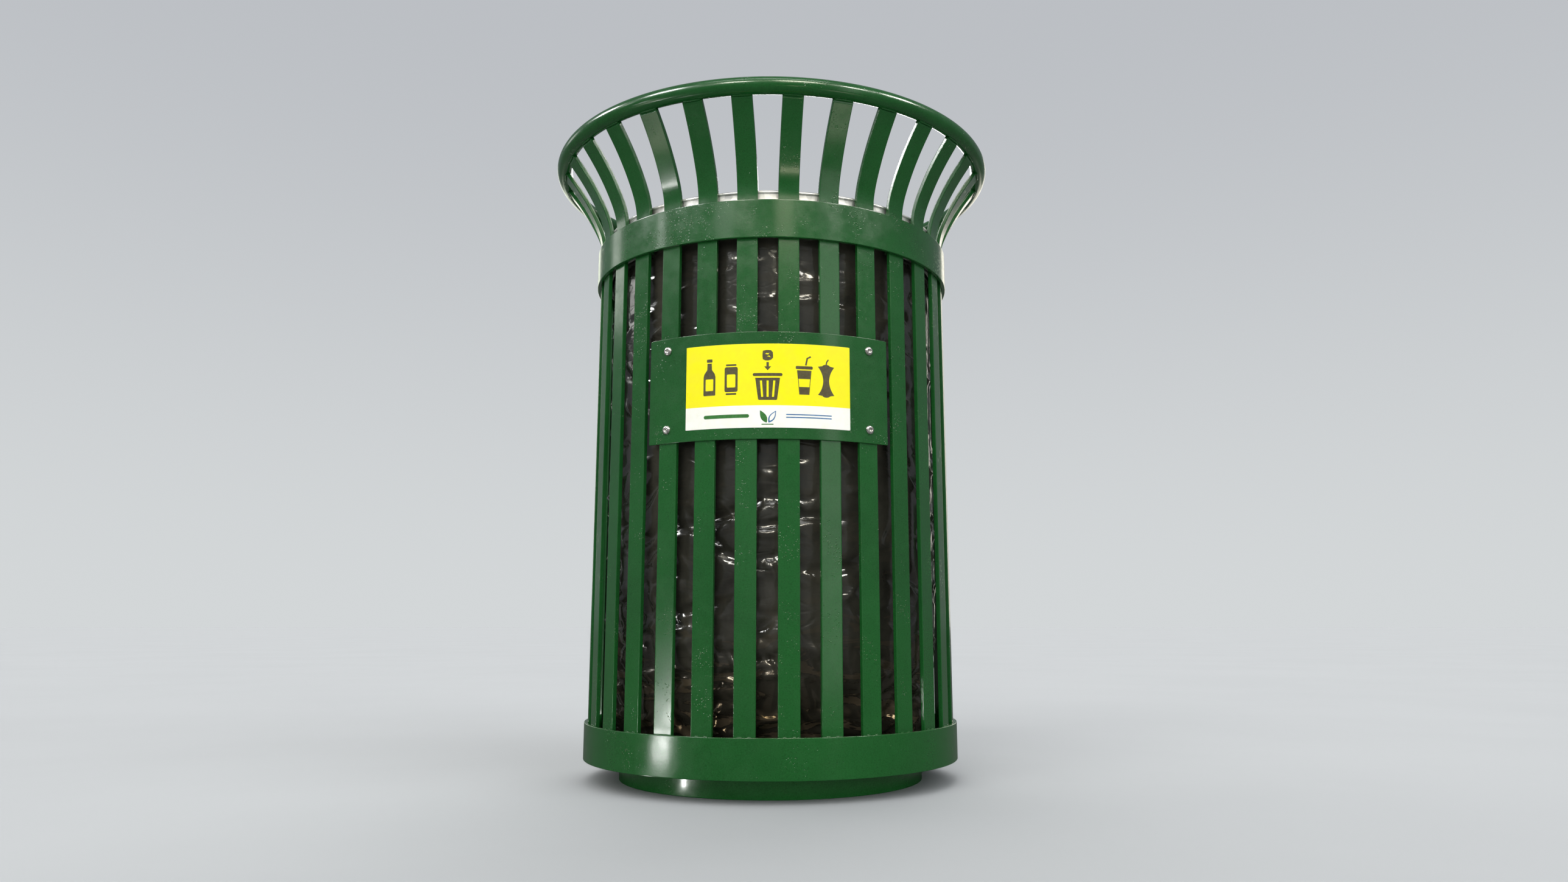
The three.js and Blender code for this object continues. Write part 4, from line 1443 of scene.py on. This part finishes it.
def add_creases(ob):
    """Creases on the wall and larger crumples near the floor, on top of the settled shape."""
    mesh = ob.data
    co = np.empty(len(mesh.vertices) * 3)
    mesh.vertices.foreach_get("co", co)
    co = co.reshape(-1, 3)
    x, y, z = co[:, 0], co[:, 1], co[:, 2]
    r = np.hypot(x, y)
    theta = np.arctan2(x, -y)
    inner = (r < 0.2722) | (z < 0.80)
    wall = smoothstep(0.12, 0.20, r) * smoothstep(0.805, 0.77, z) * inner
    push = wall_creases(theta, z)
    cx, cy = np.cos(theta), np.sin(theta)
    # crumples that run round the bin where the film is heaped up
    low = smoothstep(0.27, 0.10, z)
    warp = noise3(cx * 2.2, cy * 2.2, z * 7) * 1.7
    large = 1 - np.abs(noise3(cx * 4.2 + 20, cy * 4.2, z * 27 + warp))
    small = 1 - np.abs(noise3(cx * 9 + 5, cy * 9 + 2, z * 52 + warp * 2))
    push -= low * (0.0075 * large**3 + 0.0022 * small**3)
    # broad, shallow unevenness above
    push -= (1 - low) * 0.0016 * (noise3(cx * 5, cy * 5, z * 7) + 1)
    limit = np.where(inner, np.where(z > 0.79, 0.2699, WALL_R + 0.0004), 1.0)
    new_r = np.minimum(r + push * wall, limit)
    bottom = 0.88 * smoothstep(0.232, 0.175, r) * (z < 0.15)
    new_z = z * (1 - bottom) + bottom * (FLOOR_Z + 0.0008 + floor_folds(x, y))
    new_z = np.maximum(new_z, FLOOR_Z)
    scale = np.where(r > 1e-6, new_r / np.maximum(r, 1e-6), 1.0)
    mesh.vertices.foreach_set("co", np.stack([x * scale, y * scale, new_z], 1).ravel())
    shade(mesh, True)
    mesh.update()


bag_around, bag_step, bag_frames = 190, 0.0075, 34
bag_verts, bag_faces, bag_held, bag_rows = bag_sheet(bag_around, bag_step)
bag = make_object("bag_film_sack", bag_verts, bag_faces, FILM)
film_outward(bag.data)
settle(bag, bag_held, bag_rows, bag_around, bag_frames)
configure(bag.modifiers.new("finer", "SUBSURF"), levels=1, render_levels=1)
bake(bag)
add_creases(bag)
# in case a baked mesh comes without its material
if not bag.data.materials:
    bag.data.materials.append(FILM)
place(bag, "bag_set", "bag")


# ---------------------------------------------------------- floor and backdrop

def floor_material(name):
    """Pale studio floor, darker in reflections so that the gloss stays clean."""
    mat = Shader(name)
    cloud = mat.noise(scale=1.3, detail=4, rough=0.6)
    color = mat.mix(srgb(182, 184, 186), srgb(184, 186, 188), mat.ramp(cloud, over=(0.3, 0.7)))
    rough = mat.ramp(mat.noise(scale=9, detail=3), over=(0.3, 0.7), to=(0.60, 0.72))
    mat.finish(color, rough, Specular_IOR_Level=0.0)
    dark = mat.add("BsdfDiffuse", {"Color": (0.10, 0.10, 0.10, 1)})
    path = mat.add("LightPath").outputs
    pale = mat.math("MAXIMUM", path["Is Camera Ray"],
                    mat.times(path["Is Diffuse Ray"], by=0.72))
    mixed = mat.add("MixShader", {0: pale, 1: dark.outputs[0], 2: mat.bsdf.outputs[0]})
    feed(mat.tree, mat.out, {0: mixed.outputs[0]})
    return mat.material


def make_world():
    """The camera sees a pale grey that meets the floor without a line; the light is dimmer."""
    horizon = (0.651, 0.676, 0.686, 1)
    overhead = (0.50, 0.52, 0.55, 1)
    world = bpy.data.worlds.new("studio")
    scene.world = world
    world.use_nodes = True
    tree = world.node_tree
    tree.nodes.clear()
    lit = add_node(tree, "Background", {0: (0.88, 0.94, 1.0, 1), 1: 0.22})
    coord = add_node(tree, "TexCoord").outputs["Generated"]
    height = add_node(tree, "SeparateXYZ", {0: coord}).outputs[2]
    fade = add_node(tree, "MapRange", {"Value": height, "From Min": 0.0, "From Max": 0.55},
                    interpolation_type="SMOOTHSTEP").outputs[0]
    tint = add_node(tree, "Mix", {0: fade, 6: horizon, 7: overhead}, data_type="RGBA")
    seen = add_node(tree, "Background", {0: tint.outputs[2]})
    camera_ray = add_node(tree, "LightPath").outputs["Is Camera Ray"]
    mixed = add_node(tree, "MixShader", {0: camera_ray, 1: lit.outputs[0], 2: seen.outputs[0]})
    add_node(tree, "OutputWorld", {0: mixed.outputs[0]})


floor_mesh = bpy.data.meshes.new("stage_floor")
floor_mesh.from_pydata([(-60, -60, 0), (60, -60, 0), (60, 60, 0), (-60, 60, 0)], [],
                       [(0, 1, 2, 3)])
floor_mesh.materials.append(floor_material("stage_floor"))
floor = add_object("stage_floor", floor_mesh)
make_world()

# ------------------------------------------------------------------- lights

WHITE = (1, 1, 1)
OFF_WHITE = (1, 1, 0.98)

# broad suns that soften shadows: name, azimuth, elevation, strength, angular size, colour
SUNS = [
    ("soft_front_left", -28, 40, 1.35, 45, OFF_WHITE),
    ("soft_low_front", -12, 4, 0.95, 26, OFF_WHITE),
    ("soft_top", 0, 80, 0.75, 60, WHITE),
    ("soft_right", 52, 34, 1.1, 50, (0.97, 0.99, 1.0)),
    ("soft_back", 176, 48, 1.5, 50, (1.0, 0.99, 0.97)),
    ("soft_back_left", -120, 30, 0.6, 50, (1.0, 1.0, 0.95)),
]

LEFT_SLAT = (-0.144, -0.249)               # outer face of a slat at the front left
# soft boxes for single glares: name, azimuth, height, distance from the start point,
# size, energy, colour, target, start point, grid cone in degrees
LOCAL_BOXES = [
    # glare at the foot of the left slats
    ("gloss_low_left", -65.5, 0.018, 0.46, (0.11, 0.036), 0.29, OFF_WHITE,
     (*LEFT_SLAT, 0.08), LEFT_SLAT, None),
    ("gloss_mid_low_left", -62.7, 0.020, 1.1, (0.13, 0.036), 1.15, OFF_WHITE,
     (*LEFT_SLAT, 0.10), LEFT_SLAT, None),
    ("gloss_far_low_left", -62.7, 0.09, 2.4, (0.26, 0.10), 0.55, OFF_WHITE,
     (0, 0, 0.5), LEFT_SLAT, None),
    # a small box just above the floor, beside the plinth
    ("gloss_by_plinth", -67.2, 0.0075, 0.070, (0.010, 0.013), 0.022, OFF_WHITE,
     (-0.127, -0.215, 0.022), (-0.1272, -0.2152), None),
    # small glares on the bend of the slats
    ("gloss_bend_left", -64.4, 0.41, 2.15, (0.17, 0.15), 4.0, OFF_WHITE,
     (-0.148, -0.257, 0.885), (-0.148, -0.257), 9),
    ("gloss_bend_front", 12.1, 0.02, 2.10, (0.20, 0.14), 1.9, (1.0, 0.93, 0.66),
     (0.031, -0.297, 0.89), (0.031, -0.297), 9),
    ("gloss_floor_right", 40, 0.05, 1.0, (0.30, 0.30), 0.60, (1.0, 0.96, 0.78),
     (0.1, -0.32, 0.95), (0.104, -0.320), 44),
    ("gloss_floor_left", -66, 0.05, 1.38, (0.34, 0.34), 1.05, (1.0, 0.97, 0.80),
     (-0.17, -0.29, 0.95), (-0.168, -0.292), 40),
    ("gloss_overhead", 0, 3.1, 1.25, (1.9, 0.22), 11, OFF_WHITE,
     (0, -0.35, 0.98), (0, 0), None),
]
# soft boxes aimed at the bin's axis: name, azimuth, height, distance, size, energy,
# colour, target height
AXIS_BOXES = [
    # high up: seen only by creases in the film, pits in the paint and the round rim
    ("gloss_high_front", 14, 2.35, 2.3, (0.80, 0.45), 30, (1.0, 0.94, 0.80), 0.45),
    ("gloss_high_left", -52, 2.35, 2.3, (0.70, 0.50), 44, WHITE, 0.45),
    ("gloss_high_right", 66, 2.35, 2.3, (0.70, 0.50), 34, (1.0, 0.98, 0.92), 0.45),
    ("gloss_high_front_left", -16, 2.15, 2.3, (0.50, 0.30), 18, (1.0, 0.97, 0.86), 0.45),
    ("gloss_high_front_right", 40, 2.20, 2.3, (0.45, 0.35), 18, (1.0, 0.97, 0.90), 0.45),
    ("gloss_high_side_left", -88, 2.20, 2.3, (0.50, 0.40), 30, WHITE, 0.45),
    # weaker boxes from the left round to the right
    ("gloss_left", -112, 1.62, 2.4, (0.42, 0.55), 1.6, (1.0, 1.0, 0.95), 0.8),
    ("gloss_left_front", -69, 1.66, 2.4, (0.20, 0.36), 1.3, OFF_WHITE, 0.8),
    ("gloss_front_weak", -27, 1.70, 2.4, (0.45, 0.25), 0.8, (1, 1, 0.96), 0.8),
    ("gloss_front_warm", 8.5, 1.70, 2.4, (0.42, 0.30), 1.0, (1.0, 0.95, 0.72), 0.8),
    ("gloss_right_strip", 36, 0.78, 2.4, (0.36, 1.56), 1.9, (1.0, 0.98, 0.94), 0.5),
    # from behind, for the bright rims at both sides
    ("gloss_rim_right", 150, 1.1, 2.4, (0.5, 1.8), 6, (1.0, 0.94, 0.80), 0.6),
    ("gloss_rim_left", -150, 1.1, 2.4, (0.4, 1.6), 4, (0.96, 1.0, 0.82), 0.6),
    ("gloss_back", 176, 1.9, 2.6, (0.8, 0.6), 22, WHITE, 0.6),
]


def add_light(light, location, aim, **visibility):
    """Put a light at a place, shining along aim."""
    ob = bpy.data.objects.new(light.name, light)
    configure(ob, location=location, rotation_mode="QUATERNION",
              rotation_quaternion=aim.to_track_quat("-Z", "Y"), **visibility)
    scene.collection.objects.link(ob)
    return ob


def soft_sun(name, azimuth, elevation, strength, angle, color):
    """Broad light that does not show in the gloss."""
    light = bpy.data.lights.new(name, "SUN")
    configure(light, energy=strength, angle=math.radians(angle), color=color)
    dx, dy = direction(azimuth)
    e = math.radians(elevation)
    towards = Vector((dx * math.cos(e), dy * math.cos(e), math.sin(e)))
    add_light(light, towards * 6, -towards, visible_glossy=False)


def softbox(name, azimuth, height, distance, size, energy, color, target,
            start=(0, 0), cone=None):
    """Soft box seen only in the gloss; with a cone its grid lights only what is near its aim."""
    light = bpy.data.lights.new(name, "AREA")
    configure(light, shape="RECTANGLE", size=size[0], size_y=size[1], energy=energy,
              color=color)
    if cone:
        half = math.radians(cone / 2)
        light.spread = 2 * half
        # as bright at its middle as without the grid
        light.energy = energy * (math.tan(half) - half) / math.tan(half)
    dx, dy = direction(azimuth)
    location = Vector((start[0] + distance * dx, start[1] + distance * dy, height))
    return add_light(light, location, Vector(target) - location,
                     visible_camera=False, visible_diffuse=False)


for sun in SUNS:
    soft_sun(*sun)

steel = bpy.data.collections.new("steel")
for piece in scene.objects:
    if piece.type == "MESH" and piece not in (bag, floor):
        steel.objects.link(piece)

for box in LOCAL_BOXES:
    softbox(*box)
for *box, target_z in AXIS_BOXES:
    gloss = softbox(*box, target=(0, 0, target_z))
    if gloss.name == "gloss_right_strip":
        # the bag does not catch this one
        gloss.light_linking.receiver_collection = steel

# ------------------------------------------------------------------- camera

camera_data = bpy.data.cameras.new("main_camera")
configure(camera_data, lens=24.06, sensor_width=36, sensor_fit="HORIZONTAL", clip_start=0.02)
camera = bpy.data.objects.new("main_camera", camera_data)
camera.location = (0.0326, -1.7294, 0.2381)
# tilted 9.87 degrees up from level and turned slightly left
camera.rotation_euler = (math.radians(90 + 9.87), 0, math.radians(0.38))
scene.collection.objects.link(camera)
scene.camera = camera

scene.view_settings.view_transform = "Standard"
scene.view_settings.look = "None"
